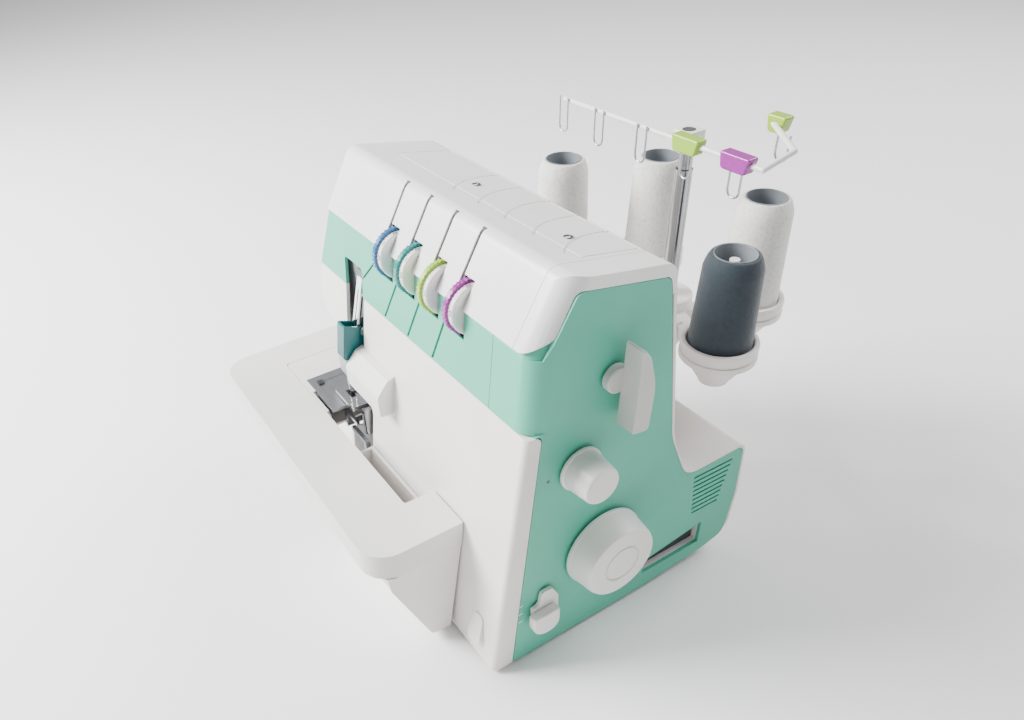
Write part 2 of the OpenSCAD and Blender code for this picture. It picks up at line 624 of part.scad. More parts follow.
// Front cover ---------------------------------------------------------------------------
door_right = half_w - 0.2;
module looper_cover() color(shell_white) difference() {
  union() {
    along_x(door_left, door_right) polygon(strip(
      [[door_foot.x, door_foot.y, 0], [door_head.x, door_head.y, 0]], wall));
    // side return that meets the mint panel
    along_x(door_right - wall, door_right) polygon([door_foot, door_head,
      [panel_front.x + 22, 196], [panel_front.x - gap, floor_gap]]);
    along_x(door_left, door_right) polygon([[door_foot.x + eps, door_foot.y],
      [door_foot.x + 0.44, door_foot.y + wall], [door_foot.x + 10, door_foot.y + wall],
      [door_foot.x + 10, door_foot.y]]);
  }
  // rounded upper right corner, seen from the front
  along_y(-130, -60) difference() {
    translate([door_right - 12, door_head.y - 12]) square([30, 30]);
    translate([door_right - 12, door_head.y - 12]) circle(r = 12);
  }
  // looper opening at the lower left
  along_y(-130, -80) polygon(rounded([[door_left - 1, 0, 0], [-60, 0, 0], [-60, 118, 8],
    [door_left - 1, 118, 0]]));
}

module cover_tab() color(shell_white) translate([0, -0.01, 0]) intersection() {
  along_x(92, 114) polygon([[door_y(14) - 4.5, 14], [door_y(14), 14],
    [door_y(42), 42], [door_y(42) - 0.6, 42]]);
  along_y(-140, -90) translate([103, 27]) polygon(rounded(
    [[-8, -11, 5], [8, -11, 5], [5, 14, 4], [-5, 14, 4]]));
}

module knife_guard() color(shell_white) translate([0, -0.01, 0]) along_x(-79.4, -27)
  polygon(rounded([[door_y(132), 132, 0], [door_y(163), 163, 0], [door_y(161) - 6, 161, 3],
    [door_y(150) - 14, 150, 6], [door_y(132) - 11, 132, 2.5]], 10));

// Eye guard: a channel that hangs under the take-up guide and tilts up on two stub pins
guard_left = -91.6;
guard_right = -80.4;
guard_wall = 1.2;
guard_pivot = [-87.5, 173.5];
guard_pin = 3.2;
module finger_guard() color("#157f86") {
  difference() {
    along_x(guard_left, guard_right) polygon(rounded([[-103.4, 183, 1.5], [-108.4, 152.5, 3],
      [-87.5, 157, 4], [-82.6, 174.5, 4]]));
    along_x(guard_left + guard_wall, guard_right - guard_wall) polygon([[-102.2, 190],
      [-102, 183], [-107.2, 150], [-70, 150], [-70, 190]]);
  }
  rod_x(guard_right - eps, guard_right + 2, guard_pivot.x, guard_pivot.y, guard_pin);
  rod_x(guard_left - 2, guard_left + eps, guard_pivot.x, guard_pivot.y, guard_pin);
}

// Extension table ---------------------------------------------------------------------------
notch_right = 36;
table_outline = [[-table_left, -30, 3], [-table_left, -table_front, table_r],
  [table_right, -table_front, table_r], [table_right, -101.6, 1], [notch_right, -101.6, 1],
  [notch_right, bed_front - gap, 2], [bed_left - gap, bed_front - gap, 2], [bed_left - gap, -30, 2]];
function inner_outline(t) = [[-table_left + t, -30 - t, 1], [-table_left + t, -table_front + t, table_r - t],
  [table_right - t, -table_front + t, table_r - t], [table_right - t, -104.6 - t, 0.5],
  [notch_right + t, -104.6 - t, 0.5], [notch_right + t, bed_front - gap - t, 2],
  [bed_left - gap - t, bed_front - gap - t, 2], [bed_left - gap - t, -30 - t, 1]];
module extension_table() color(shell_white) difference() {
  translate([0, 0, bed_h - skirt_h]) linear_extrude(skirt_h) polygon(rounded(table_outline, 10));
  translate([0, 0, bed_h - skirt_h - 1]) linear_extrude(skirt_h + 1 - wall)
    polygon(rounded(inner_outline(wall), 10));
  // rear edge follows the slope of the front cover
  along_x(notch_right - 5, table_right + 1) polygon([[door_y(70) - 0.8, 70],
    [door_y(110) - 0.8, 110], [-80, 110], [-80, 70]]);
}

tray_left = -58;
tray_top = bed_h - skirt_h - 0.4;
function tray_side(d) = [[-162 + d, tray_top, 0], [-160.5 + d, 71, 6],
  [-134 + d, 5 + d, 5], [-118.5 - d, 4 + d, 1], [door_y(tray_top) - 1 - d, tray_top, 0]];
module waste_tray() color("#d9d5d0") difference() {
  along_x(tray_left, table_right - 0.5) polygon(rounded(tray_side(0)));
  along_x(tray_left + 2.5, table_right - 3) polygon(concat(rounded(tray_side(2.5)),
    [[door_y(tray_top) - 3.5, bed_h], [-159.5, bed_h]]));
}

// Drive ------------------------------------------------------------------------------------
pulley_x = [66, 78];
motor_y = 68;
motor_z = 22 + motor_d / 2;
module main_shaft() color(steel) {
  rod_x(wall_left.x - 14, half_w + 14, shaft_y, shaft_z, shaft_d);
  // feed and looper eccentrics
  rod_x(-46, -36, shaft_y + 3, shaft_z, 30);
  rod_x(-30, -20, shaft_y, shaft_z + 3, 30);
  rod_x(30, 40, shaft_y - 3, shaft_z, 30);
}
module handwheel() color("#e4e1dc") translate([half_w + 1.2, shaft_y, shaft_z]) rotate([0, 90, 0])
  difference() {
    rotate_extrude($fn = 96) polygon([[shaft_d / 2, 0], [handwheel_r, 0], [handwheel_r, 3],
      [handwheel_r - 3.4, handwheel_w - 2.5], [handwheel_r - 6, handwheel_w],
      [13.5, handwheel_w], [13, handwheel_w - 1], [12, handwheel_w - 1], [11.5, handwheel_w],
      [0, handwheel_w], [0, 12.8], [shaft_d / 2, 12.8]]);
  }
module shaft_pulley() color(dark_grey) difference() {
  rod_x(pulley_x.x, pulley_x.y, shaft_y, shaft_z, 2 * pulley_r);
  rod_x(pulley_x.x - 1, pulley_x.y + 1, shaft_y, shaft_z, shaft_d);
}
module motor() color("#6a6e73") difference() {
  rod_x(-16, 56, motor_y, motor_z, motor_d);
  rod_x(-17, 57, motor_y, motor_z, 8 + 2 * running);
}
module motor_pulley() color(steel) {
  rod_x(-14, pulley_x.y, motor_y, motor_z, 8);
  rod_x(pulley_x.x, pulley_x.y, motor_y, motor_z, 2 * motor_pulley_r);
}

// Outline of a belt that runs r1 round c1 and r2 round c2
function belt_outline(c1, r1, c2, r2) =
  let (d = c2 - c1, a = atan2(d.y, d.x), b = acos((r1 - r2) / norm(d)), n = 24)
  concat([for (i = [0:n]) c1 + r1 * [cos(a + b + (360 - 2 * b) * i / n), sin(a + b + (360 - 2 * b) * i / n)]],
    [for (i = [0:n]) c2 + r2 * [cos(a - b + 2 * b * i / n), sin(a - b + 2 * b * i / n)]]);
module drive_belt() color("#2a2c2e") along_x(pulley_x.x + 2, pulley_x.y - 2) difference() {
  polygon(belt_outline([shaft_y, shaft_z], pulley_r + 2.3, [motor_y, motor_z], motor_pulley_r + 2.3));
  polygon(belt_outline([shaft_y, shaft_z], pulley_r + 0.3, [motor_y, motor_z], motor_pulley_r + 0.3));
}
module power_inlet() color("#d8d4ce") difference() {
  along_x(half_w - 16, half_w - wall) polygon([[20, 17], [82, 17], [82, 43], [20, 35]]);
  along_x(half_w - 13, half_w) polygon(inlet);
}

// Controls ---------------------------------------------------------------------------------
module stitch_knob() color("#dcd9d5") {
  translate([half_w + 1, knob_y, knob_z]) rotate([0, 90, 0]) rotate_extrude($fn = 72)
    polygon([[0, 0], [knob_r, 0], [knob_r, 2.5], [knob_r - 3, knob_w - 1.2],
      [knob_r - 4.2, knob_w], [0, knob_w]]);
  rod_x(wall_right.x - 6, half_w + 2, knob_y, knob_z, spindle_d);
}
module feed_lever() color("#e2dfda") {
  rod_x(half_w - 14, half_w + 2, lever_y + 10, lever_z, spindle_d - 3);
  along_x(half_w + 0.8, half_w + 4) polygon(rounded([[lever_y - 8, lever_z - 5, 3],
    [lever_y + 14, lever_z - 5, 4], [lever_y + 14, lever_z + 5, 4], [lever_y - 8, lever_z + 5, 3]]));
  along_x(half_w + 4 - eps, half_w + 11) polygon(rounded([[lever_y - 9, lever_z - 5, 3],
    [lever_y + 3, lever_z - 5, 2], [lever_y + 4, lever_z + 6, 2], [lever_y - 9, lever_z + 6, 2]]));
}

// Thread stand --------------------------------------------------------------------------------
pads = [[-104, 119], [-58, 182], [50, 182], [82, 119]];
pole_x = -2;
pole_y = 150;
stand_screw_x = 24;
stand_y = 88;
pole_low = pad_h - 24;
module pad() rotate_extrude() polygon([[pin_d / 2, pad_h - 22], [0, pad_h - 22],
  [0, pad_h - 26], [11, pad_h - 26], [11, pad_h - 7], [pad_d / 2 - 6, pad_h - 7],
  [pad_d / 2 - 6, pad_h - 4], [pad_d / 2, pad_h - 4], [pad_d / 2, pad_h], [pin_d / 2, pad_h]]);
module pole_boss() rotate_extrude() polygon([[0, pad_h - 30], [20, pad_h - 30],
  [20, pad_h - 1], [19, pad_h], [pole_w / 2, pad_h], [pole_w / 2, pole_low], [0, pole_low]]);
module arm(a, b) {
  way = b - a;
  translate([a.x, a.y, pad_h - 20]) rotate([0, 0, atan2(way.y, way.x)])
    translate([6, -7, 0]) cube([norm(way) - 16, 14, 11]);
}
module spool_stand() color(shell_white) difference() {
  union() {
    for (p = pads) translate([p.x, p.y, 0]) pad();
    for (p = pads) arm([p.x, p.y], [pole_x, pole_y]);
    translate([pole_x, pole_y, 0]) pole_boss();
    // foot that carries the stand on the rear deck
    along_x(pole_x - 32, pole_x + 32) polygon([[65, deck_h], [104, deck_h], [136, pad_h - 25.5],
      [136, pad_h - 7.5], [128, pad_h - 7.5], [92, deck_h + 10], [65, deck_h + 6]]);
  }
  for (s = [-1, 1]) translate([pole_x + s * stand_screw_x, stand_y, deck_h - 1]) cylinder(h = 30, d = 4.4);
}
module stand_screws() color(steel) for (s = [-1, 1])
  translate([pole_x + s * stand_screw_x, stand_y, 0]) {
    translate([0, 0, deck_h - 10]) cylinder(h = 24, d = 4.4);
    translate([0, 0, deck_h + 10.6]) cylinder(h = 3.4, d = 8.5);
  }
module spool_pins() color("#e9e7e3") for (p = pads) translate([p.x, p.y, pad_h - 22])
  cylinder(h = 22 + 72, d = pin_d);

module pole_outer() color(steel) translate([pole_x, pole_y, pole_low]) difference() {
  cylinder(h = 262 - pole_low, d = pole_w);
  translate([0, 0, -1]) cylinder(h = 300, d = pole_w - 3);
}
module pole_inner() color(steel) translate([pole_x, pole_y, pole_low + 20]) difference() {
  cylinder(h = guide_h + 4 - pole_low - 20, d = pole_w - 3 - 2 * running);
  translate([0, 0, -1]) cylinder(h = 90, d = pole_w - 6);
}

bar_y = 138;
bar_left = -128;
bar_right = 76;
guide_bar_d = 4;
module guide_bar() color("#dad8d4") {
  rod_x(bar_left, bar_right, bar_y, guide_h, guide_bar_d);
  difference() {
    union() {
      box([pole_x - 8, bar_y + 5.4, guide_h - 4], [pole_x + 8, pole_y + 8, guide_h + 4]);
      box([pole_x - 8, bar_y - 1.5, guide_h - 2], [pole_x - 2.4, bar_y + 5.4 + eps, guide_h + 2]);
    }
    translate([pole_x, pole_y, guide_h - 5]) cylinder(h = 10, d = pole_w - 3 - 2 * running);
  }
  // right end turns back and up to the rear guide
  link([bar_right, bar_y, guide_h], [bar_right + 4, bar_y + 22, guide_h + 8]);
  link([bar_right + 4, bar_y + 22, guide_h + 8], rear_clip - [14, 0, 0]);
}
// Rod from a to b with round ends
module link(a, b) {
  d = b - a;
  translate(a) sphere(d = guide_bar_d, $fn = 24);
  translate(b) sphere(d = guide_bar_d, $fn = 24);
  translate(a) rotate([0, acos(d.z / norm(d)), atan2(d.y, d.x)])
    cylinder(h = norm(d), d = guide_bar_d);
}
rear_clip = [54, 182, 300];
clip_x = [10, 55];
module thread_clips() {
  for (i = [0:1]) color(["#b5d334", "#cf4fc4"][i]) difference() {
    clip_block([clip_x[i], bar_y, guide_h]);
    rod_x(clip_x[i] - 20, clip_x[i] + 20, bar_y, guide_h, guide_bar_d);
  }
  color("#b5d334") difference() {
    clip_block(rear_clip + [6, 0, 0]);
    link([bar_right + 4, bar_y + 22, guide_h + 8], rear_clip - [14, 0, 0]);
  }
}
module clip_block(at) translate(at) along_x(-14, 14)
  polygon(rounded([[-5, -7, 2], [5, -7, 2], [5, 5, 2], [-5, 5, 2]]));
// Open wire eyelets that hang from the bar
hook_x = [-126, -82, -34];
hook_wire = 1.6;
module eyelet(high, drop) {
  for (s = [-1, 1]) translate([5 * s, 0, -drop]) cylinder(h = high + drop, d = hook_wire, $fn = 16);
  translate([0, 0, -drop]) rotate([90, 0, 0]) intersection() {
    rotate_extrude($fn = 32) translate([5, 0]) circle(d = hook_wire, $fn = 16);
    translate([-10, -10, -5]) cube([20, 10, 10]);
  }
}
module guide_hooks() color("#8d9095") {
  for (x = hook_x) translate([x, bar_y - (guide_bar_d + hook_wire) / 2, guide_h]) eyelet(2, 20);
  for (x = clip_x) translate([x, bar_y, guide_h]) eyelet(-7, 20);
  translate(rear_clip) eyelet(-7, 20);
}

// Thread spools
module spool(p, h, tint) color(tint) translate([p.x, p.y, pad_h + 0.3]) rotate_extrude($fn = 64)
  polygon([[pin_d / 2 + 1, 0], [spool_d / 2 - 1, 0], [spool_d / 2, 3], [spool_d / 2 - 2.6, h - 9],
    [spool_d / 2 - 5.6, h - 1], [spool_d / 2 - 7, h], [spool_d / 2 - 9, h], [spool_d / 2 - 11, h - 14],
    [pin_d / 2 + 4, h - 16], [pin_d / 2 + 1, h - 16]]);
module spool_1() spool(pads[0], spool_h, "#e9e6e0");
module spool_2() spool(pads[1], spool_h, "#e9e6e0");
module spool_3() spool(pads[2], spool_h, "#e9e6e0");
module spool_grey() spool(pads[3], grey_spool_h, slate);

// Moves a node so that the origin is under the middle of the whole machine
reach_x = [-table_left, half_w + 1 + knob_w];
reach_y = [-table_front, pads[1].y + pad_d / 2];
module placed() translate([-(reach_x.x + reach_x.y) / 2, -(reach_y.x + reach_y.y) / 2, 0])
  children();

placed() bottom_plate();
placed() rubber_feet();
placed() chassis();
placed() right_cover();
placed() left_cover();
placed() rear_cover();
placed() front_band();
placed() top_cap();
placed() cap_corner();
placed() needle_pocket();
placed() fabric_plate();
placed() bed_housing();
placed() base_cover();
placed() needle_plate();
placed() plate_screws();
placed() lower_knife();
placed() shaft_bushes();
placed() motor();
placed() drive_belt();
placed() power_inlet();
placed() spool_stand();
placed() stand_screws();
placed() spool_pins();
placed() pole_outer();
placed() take_up_guide();
placed() tension_discs();
placed() main_shaft();
placed() handwheel();
placed() shaft_pulley();
placed() motor_pulley();
placed() needle_bar();
placed() needle_clamp();
placed() needles();
placed() presser_bar();
placed() presser_foot();
placed() presser_lifter();
placed() upper_knife();
placed() upper_looper();
placed() lower_looper();
placed() feed_dogs();
placed() dial_blue();
placed() dial_teal();
placed() dial_lime();
placed() dial_magenta();
placed() stitch_knob();
placed() feed_lever();
placed() looper_cover();
placed() cover_tab();
placed() knife_guard();
placed() finger_guard();
placed() extension_table();
placed() waste_tray();
placed() pole_inner();
placed() guide_bar();
placed() thread_clips();
placed() guide_hooks();
placed() spool_1();
placed() spool_2();
placed() spool_3();
placed() spool_grey();
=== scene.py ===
"""Overlock machine: the looks of the assembly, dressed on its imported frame.

Sizes are in millimetres in the housing's own axes (X to the handwheel side, -Y to the
operator, Z up, origin on the floor under the middle of the housing) until `place` turns
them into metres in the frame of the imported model.
"""

from __future__ import annotations

import json
import logging
import math
from collections.abc import Sequence
from dataclasses import dataclass, field
from enum import Enum

import bpy
from mathutils import Matrix, Vector

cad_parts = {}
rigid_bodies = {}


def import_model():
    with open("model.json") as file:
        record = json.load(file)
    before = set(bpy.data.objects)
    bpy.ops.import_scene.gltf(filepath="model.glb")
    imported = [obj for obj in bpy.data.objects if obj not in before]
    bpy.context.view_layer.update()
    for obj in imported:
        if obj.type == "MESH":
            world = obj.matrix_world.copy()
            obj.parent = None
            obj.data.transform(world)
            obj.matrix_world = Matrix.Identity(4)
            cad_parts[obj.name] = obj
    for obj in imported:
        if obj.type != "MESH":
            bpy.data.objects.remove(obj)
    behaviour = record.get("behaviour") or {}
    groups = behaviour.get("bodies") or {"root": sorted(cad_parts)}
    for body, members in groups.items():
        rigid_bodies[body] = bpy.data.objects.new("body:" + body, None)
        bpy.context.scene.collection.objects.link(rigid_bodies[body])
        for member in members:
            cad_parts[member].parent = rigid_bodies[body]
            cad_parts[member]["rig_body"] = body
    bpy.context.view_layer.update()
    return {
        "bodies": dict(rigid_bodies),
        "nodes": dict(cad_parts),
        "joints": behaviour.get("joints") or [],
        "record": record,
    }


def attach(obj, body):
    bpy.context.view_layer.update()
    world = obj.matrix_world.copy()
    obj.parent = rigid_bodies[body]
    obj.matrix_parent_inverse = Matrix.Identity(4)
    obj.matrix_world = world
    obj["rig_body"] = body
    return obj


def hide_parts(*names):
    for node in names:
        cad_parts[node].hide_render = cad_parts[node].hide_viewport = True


LOG = logging.getLogger("overlock")
Point = tuple[float, float, float]
Flat = tuple[float, float]
Colour = tuple[float, float, float]
Profile = tuple[Flat, ...]
Outline = tuple[Point, ...]
Piece = bpy.types.Object
Material = bpy.types.Material
Tree = bpy.types.NodeTree
Node = bpy.types.Node
Socket = bpy.types.NodeSocket

SHIFT = (30.75, -19.0, 0.0)  # the housing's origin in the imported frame
MILLI = 1000.0  # millimetres in a metre
MERGE = 0.00001  # corners of a CAD mesh this close are one, in metres
FLAT_ANGLE = 0.6  # CAD faces this level, in degrees, are one
EDGE_ANGLE = 30.0  # edges sharper than this, in degrees, are rounded
SIDE_FACE = 127.0  # X of the mint side's outer face
FIRST_SLOT = -42.0  # X of the cap's first thread slot
SLOT_PITCH = 29.4
SLOT_COUNT = 4
CAP_FOOT = (-82.4, 253.6)  # Y and Z of the cap's lower edge
CAP_RISE = (24.4, 40.9)  # from there to the cap's front top edge
CONE_FOOT = 160.3  # Z that the cones stand on
CONE_SPOTS: Profile = ((-104, 119), (-58, 182), (50, 182), (82, 119))


def place(point: Point) -> Vector:
    """Turns a point of the housing, in millimetres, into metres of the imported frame."""
    return Vector([(p + s) / MILLI for p, s in zip(point, SHIFT)])


def rounded(corners: Sequence[Point], steps: int = 6) -> list[Flat]:
    """Rounds the corners of an outline.

    Args:
        corners: across, up and rounding radius of each corner, in millimetres.
        steps: straight pieces in each rounding.

    Returns:
        The points of the rounded outline.
    """
    points: list[Flat] = []
    for k, (x, y, radius) in enumerate(corners):
        here = Vector((x, y))
        back = (Vector(corners[k - 1][:2]) - here).normalized()
        ahead = (Vector(corners[(k + 1) % len(corners)][:2]) - here).normalized()
        if radius <= 0:
            points.append((x, y))
            continue
        half = back.angle(ahead) / 2
        centre = here + (back + ahead).normalized() * radius / math.sin(half)
        start = here + back * radius / math.tan(half) - centre
        turn = start.angle_signed(here + ahead * radius / math.tan(half) - centre)
        for n in range(steps + 1):
            spoke = start.copy()
            spoke.rotate(Matrix.Rotation(-turn * n / steps, 2))
            points.append(tuple(centre + spoke))
    return points


class Axis(Enum):
    """Direction of a turned piece's axis, or of a drawn piece's depth."""

    X = "X"
    Y = "Y"
    Z = "Z"

    def turn(self) -> Matrix:
        """Rotation that lays a piece made along Z on this axis."""
        if self is Axis.X:
            return Matrix.Rotation(math.radians(90), 4, "Y")
        if self is Axis.Y:
            return Matrix.Rotation(math.radians(-90), 4, "X")
        return Matrix.Identity(4)

    def lift(self, across: float, up: float, depth: float) -> Point:
        """The point of a flat drawing at a depth along this axis."""
        if self is Axis.X:
            return (depth, across, up)
        if self is Axis.Y:
            return (across, depth, up)
        return (across, up, depth)


# ------------------------ finishes


@dataclass(frozen=True)
class Finish:
    """A surface finish, built as a node material that reads Object coordinates."""

    name: str
    colour: Colour
    roughness: float = 0.45

    def start(self) -> tuple[Material, Tree, Node]:
        """Makes an empty material; gives it, its node tree and its Principled shader."""
        material = bpy.data.materials.new(self.name)
        material.use_nodes = True
        tree = material.node_tree
        shader = tree.nodes["Principled BSDF"]
        shader.inputs["Base Color"].default_value = (*self.colour, 1.0)
        shader.inputs["Roughness"].default_value = self.roughness
        return material, tree, shader

    def noise(self, tree: Tree, scale: float, stretch: Point = (1, 1, 1),
              detail: float = 3.0) -> Node:
        """Adds a noise texture on Object coordinates.

        Args:
            tree: the material's node tree.
            scale: noise cells for each metre.
            stretch: factors along X, Y and Z.
            detail: octaves of the noise.

        Returns:
            The noise node.
        """
        where = tree.nodes.new("ShaderNodeTexCoord")
        mapping = tree.nodes.new("ShaderNodeMapping")
        mapping.inputs["Scale"].default_value = stretch
        node = tree.nodes.new("ShaderNodeTexNoise")
        node.inputs["Scale"].default_value = scale
        node.inputs["Detail"].default_value = detail
        tree.links.new(where.outputs["Object"], mapping.inputs["Vector"])
        tree.links.new(mapping.outputs["Vector"], node.inputs["Vector"])
        return node

    def tint(self, tree: Tree, shader: Node, source: Socket, low: Colour, high: Colour,
             span: Flat = (0.3, 0.7)) -> None:
        """Lets the base colour run from low to high over a span of the source."""
        node = tree.nodes.new("ShaderNodeValToRGB")
        node.color_ramp.elements[0].position = span[0]
        node.color_ramp.elements[1].position = span[1]
        node.color_ramp.elements[0].color = (*low, 1.0)
        node.color_ramp.elements[1].color = (*high, 1.0)
        tree.links.new(source, node.inputs["Fac"])
        tree.links.new(node.outputs["Color"], shader.inputs["Base Color"])

    def grain(self, tree: Tree, shader: Node,
              height: Socket, depth: float, strength: float) -> None:
        """Adds a bump of the given depth, in metres, to the shader."""
        bump = tree.nodes.new("ShaderNodeBump")
        bump.inputs["Strength"].default_value = strength
        bump.inputs["Distance"].default_value = depth
        tree.links.new(height, bump.inputs["Height"])
        tree.links.new(bump.outputs["Normal"], shader.inputs["Normal"])

    def spread(self, tree: Tree, shader: Node, source: Socket, low: float, high: float) -> None:
        """Lets the roughness run from low to high with the source."""
        node = tree.nodes.new("ShaderNodeMapRange")
        node.inputs["To Min"].default_value = low
        node.inputs["To Max"].default_value = high
        tree.links.new(source, node.inputs["Value"])
        tree.links.new(node.outputs["Result"], shader.inputs["Roughness"])

    def darker(self, factor: float) -> Colour:
        """The finish's colour, multiplied by a factor."""
        return tuple(c * factor for c in self.colour)

    def build(self) -> Material:
        """Makes the material."""
        return self.start()[0]


@dataclass(frozen=True)
class MouldedPlastic(Finish):
    """Injection-moulded plastic: fine grain, faint mottling, slightly uneven gloss."""

    grain_scale: float = 2600.0
    grain_depth: float = 0.00004
    mottle: float = 0.04
    coat: float = 0.0

    def build(self) -> Material:
        """Makes the material."""
        material, tree, shader = self.start()
        cloud = self.noise(tree, 14.0, detail=2.0)
        low = tuple(max(0.0, c * (1 - self.mottle)) for c in self.colour)
        high = tuple(min(1.0, c * (1 + self.mottle)) for c in self.colour)
        self.tint(tree, shader, cloud.outputs["Fac"], low, high)
        fine = self.noise(tree, self.grain_scale, detail=2.0)
        self.grain(tree, shader, fine.outputs["Fac"], self.grain_depth, 0.35)
        smear = self.noise(tree, 45.0, detail=4.0)
        self.spread(tree, shader, smear.outputs["Fac"], self.roughness - 0.05,
                    self.roughness + 0.07)
        shader.inputs["Coat Weight"].default_value = self.coat
        shader.inputs["Coat Roughness"].default_value = 0.18
        return material


@dataclass(frozen=True)
class TintedClear(Finish):
    """Tinted see-through plastic with a soft gloss."""

    clarity: float = 0.35

    def build(self) -> Material:
        """Makes the material."""
        material, tree, shader = self.start()
        cloud = self.noise(tree, 30.0)
        self.tint(tree, shader, cloud.outputs["Fac"], self.darker(0.85), self.colour)
        shader.inputs["Transmission Weight"].default_value = self.clarity
        shader.inputs["IOR"].default_value = 1.48
        fine = self.noise(tree, 1800.0)
        self.grain(tree, shader, fine.outputs["Fac"], 0.00002, 0.2)
        return material


@dataclass(frozen=True)
class Metal(Finish):
    """Machined, brushed or plated metal, drawn along one axis."""

    stretch: Point = (1.0, 1.0, 0.06)
    lines: float = 900.0
    wear: float = 0.12

    def build(self) -> Material:
        """Makes the material."""
        material, tree, shader = self.start()
        shader.inputs["Metallic"].default_value = 1.0
        brushed = self.noise(tree, self.lines, self.stretch, 4.0)
        self.tint(tree, shader, brushed.outputs["Fac"], self.darker(1 - self.wear),
                  self.colour)
        self.spread(tree, shader, brushed.outputs["Fac"], max(0.04, self.roughness - 0.06),
                    self.roughness + 0.08)
        self.grain(tree, shader, brushed.outputs["Fac"], 0.00001, 0.25)
        return material


@dataclass(frozen=True)
class CastMetal(Finish):
    """Die-cast metal with a sandy skin."""

    def build(self) -> Material:
        """Makes the material."""
        material, tree, shader = self.start()
        shader.inputs["Metallic"].default_value = 0.85
        sand = self.noise(tree, 700.0, detail=5.0)
        self.tint(tree, shader, sand.outputs["Fac"], self.darker(0.8), self.colour)
        self.grain(tree, shader, sand.outputs["Fac"], 0.0002, 0.4)
        return material


@dataclass(frozen=True)
class WoundThread(Finish):
    """Sewing thread cross-wound on a cone: fine strands and a soft sheen."""

    strand_scale: float = 5200.0

    def build(self) -> Material:
        """Makes the material."""
        material, tree, shader = self.start()
        strands = self.noise(tree, self.strand_scale, (0.25, 0.25, 1.0), 2.0)
        crossing = self.noise(tree, 420.0, (1.0, 1.0, 0.8), 3.0)
        blend = tree.nodes.new("ShaderNodeMath")
        blend.operation = "ADD"
        tree.links.new(strands.outputs["Fac"], blend.inputs[0])
        tree.links.new(crossing.outputs["Fac"], blend.inputs[1])
        self.tint(tree, shader, blend.outputs["Value"], self.darker(0.72), self.colour,
                  (0.7, 1.25))
        self.grain(tree, shader, blend.outputs["Value"], 0.0004, 0.5)
        shader.inputs["Sheen Weight"].default_value = 0.35
        shader.inputs["Sheen Roughness"].default_value = 0.4
        return material


SHELL = MouldedPlastic("warm white shell", (0.83, 0.795, 0.765), 0.42, coat=0.12)
TOP_WHITE = MouldedPlastic("white cap", (0.84, 0.825, 0.815), 0.36, coat=0.2)
TABLE_WHITE = MouldedPlastic("table white", (0.78, 0.755, 0.735), 0.46)
MINT = MouldedPlastic("mint shell", (0.075, 0.45, 0.31), 0.45)
CONTROL_WHITE = MouldedPlastic("control white", (0.82, 0.80, 0.78), 0.38, coat=0.2)
CORE_GREY = MouldedPlastic("thread core", (0.20, 0.22, 0.24), 0.35, coat=0.2)
GREY = MouldedPlastic("grey moulding", (0.56, 0.555, 0.54), 0.5)
# also used for the painted shade strips in the cap's thread slots
DARK = MouldedPlastic("dark moulding and slot shade", (0.035, 0.038, 0.042), 0.6)
POCKET = MouldedPlastic("pocket grey", (0.13, 0.14, 0.145), 0.5)
SEAM = MouldedPlastic("seam shade", (0.12, 0.14, 0.14), 0.7)
RUBBER = MouldedPlastic("foot rubber", (0.03, 0.03, 0.032), 0.85, grain_scale=900.0,
                        grain_depth=0.0001)
BLUE = MouldedPlastic("blue dial", (0.02, 0.13, 0.30), 0.25, coat=0.4)
TEAL = MouldedPlastic("teal dial", (0.0, 0.22, 0.21), 0.25, coat=0.4)
LIME = MouldedPlastic("lime dial", (0.30, 0.52, 0.03), 0.3, coat=0.4)
MAGENTA = MouldedPlastic("magenta dial", (0.30, 0.014, 0.28), 0.25, coat=0.4)
GUARD_TEAL = TintedClear("teal guard", (0.0, 0.12, 0.13), 0.22, clarity=0.1)
STEEL = Metal("brushed steel", (0.58, 0.59, 0.61), 0.32)
PLATE_STEEL = Metal("ground plate", (0.62, 0.63, 0.66), 0.3, stretch=(0.06, 1.0, 1.0))
DARK_STEEL = Metal("oiled steel", (0.26, 0.27, 0.29), 0.38)
POLE_CHROME = Metal("pole chrome", (0.40, 0.41, 0.42), 0.2, wear=0.3, lines=300.0)
CHROME = Metal("chrome plating", (0.78, 0.79, 0.81), 0.12, wear=0.05)
BRONZE = Metal("bronze bush", (0.50, 0.34, 0.14), 0.35)
WIRE = Metal("bright wire", (0.55, 0.56, 0.58), 0.25)
ALLOY = CastMetal("cast alloy", (0.42, 0.43, 0.45), 0.55)
MOTOR_GREY = MouldedPlastic("motor enamel", (0.09, 0.095, 0.10), 0.4)
PAINT_PALE = MouldedPlastic("pale printed mark", (0.62, 0.80, 0.76), 0.5)
WHITE_THREAD = WoundThread("white thread", (0.80, 0.79, 0.76), 0.8)
SLATE_THREAD = WoundThread("slate thread", (0.022, 0.036, 0.048), 0.75)

FINISH_OF_SLOT = {
    "shell": SHELL, "mint": MINT, "grey_plastic": GREY, "dark_plastic": DARK,
    "rubber": RUBBER, "alloy": ALLOY, "steel": STEEL, "dark_steel": DARK_STEEL,
    "chrome": CHROME, "bronze": BRONZE, "motor_case": MOTOR_GREY, "blue": BLUE,
    "teal": TEAL, "lime": LIME, "magenta": MAGENTA, "white_thread": WHITE_THREAD,
    "slate_thread": SLATE_THREAD,
}


# ------------------------ workshop


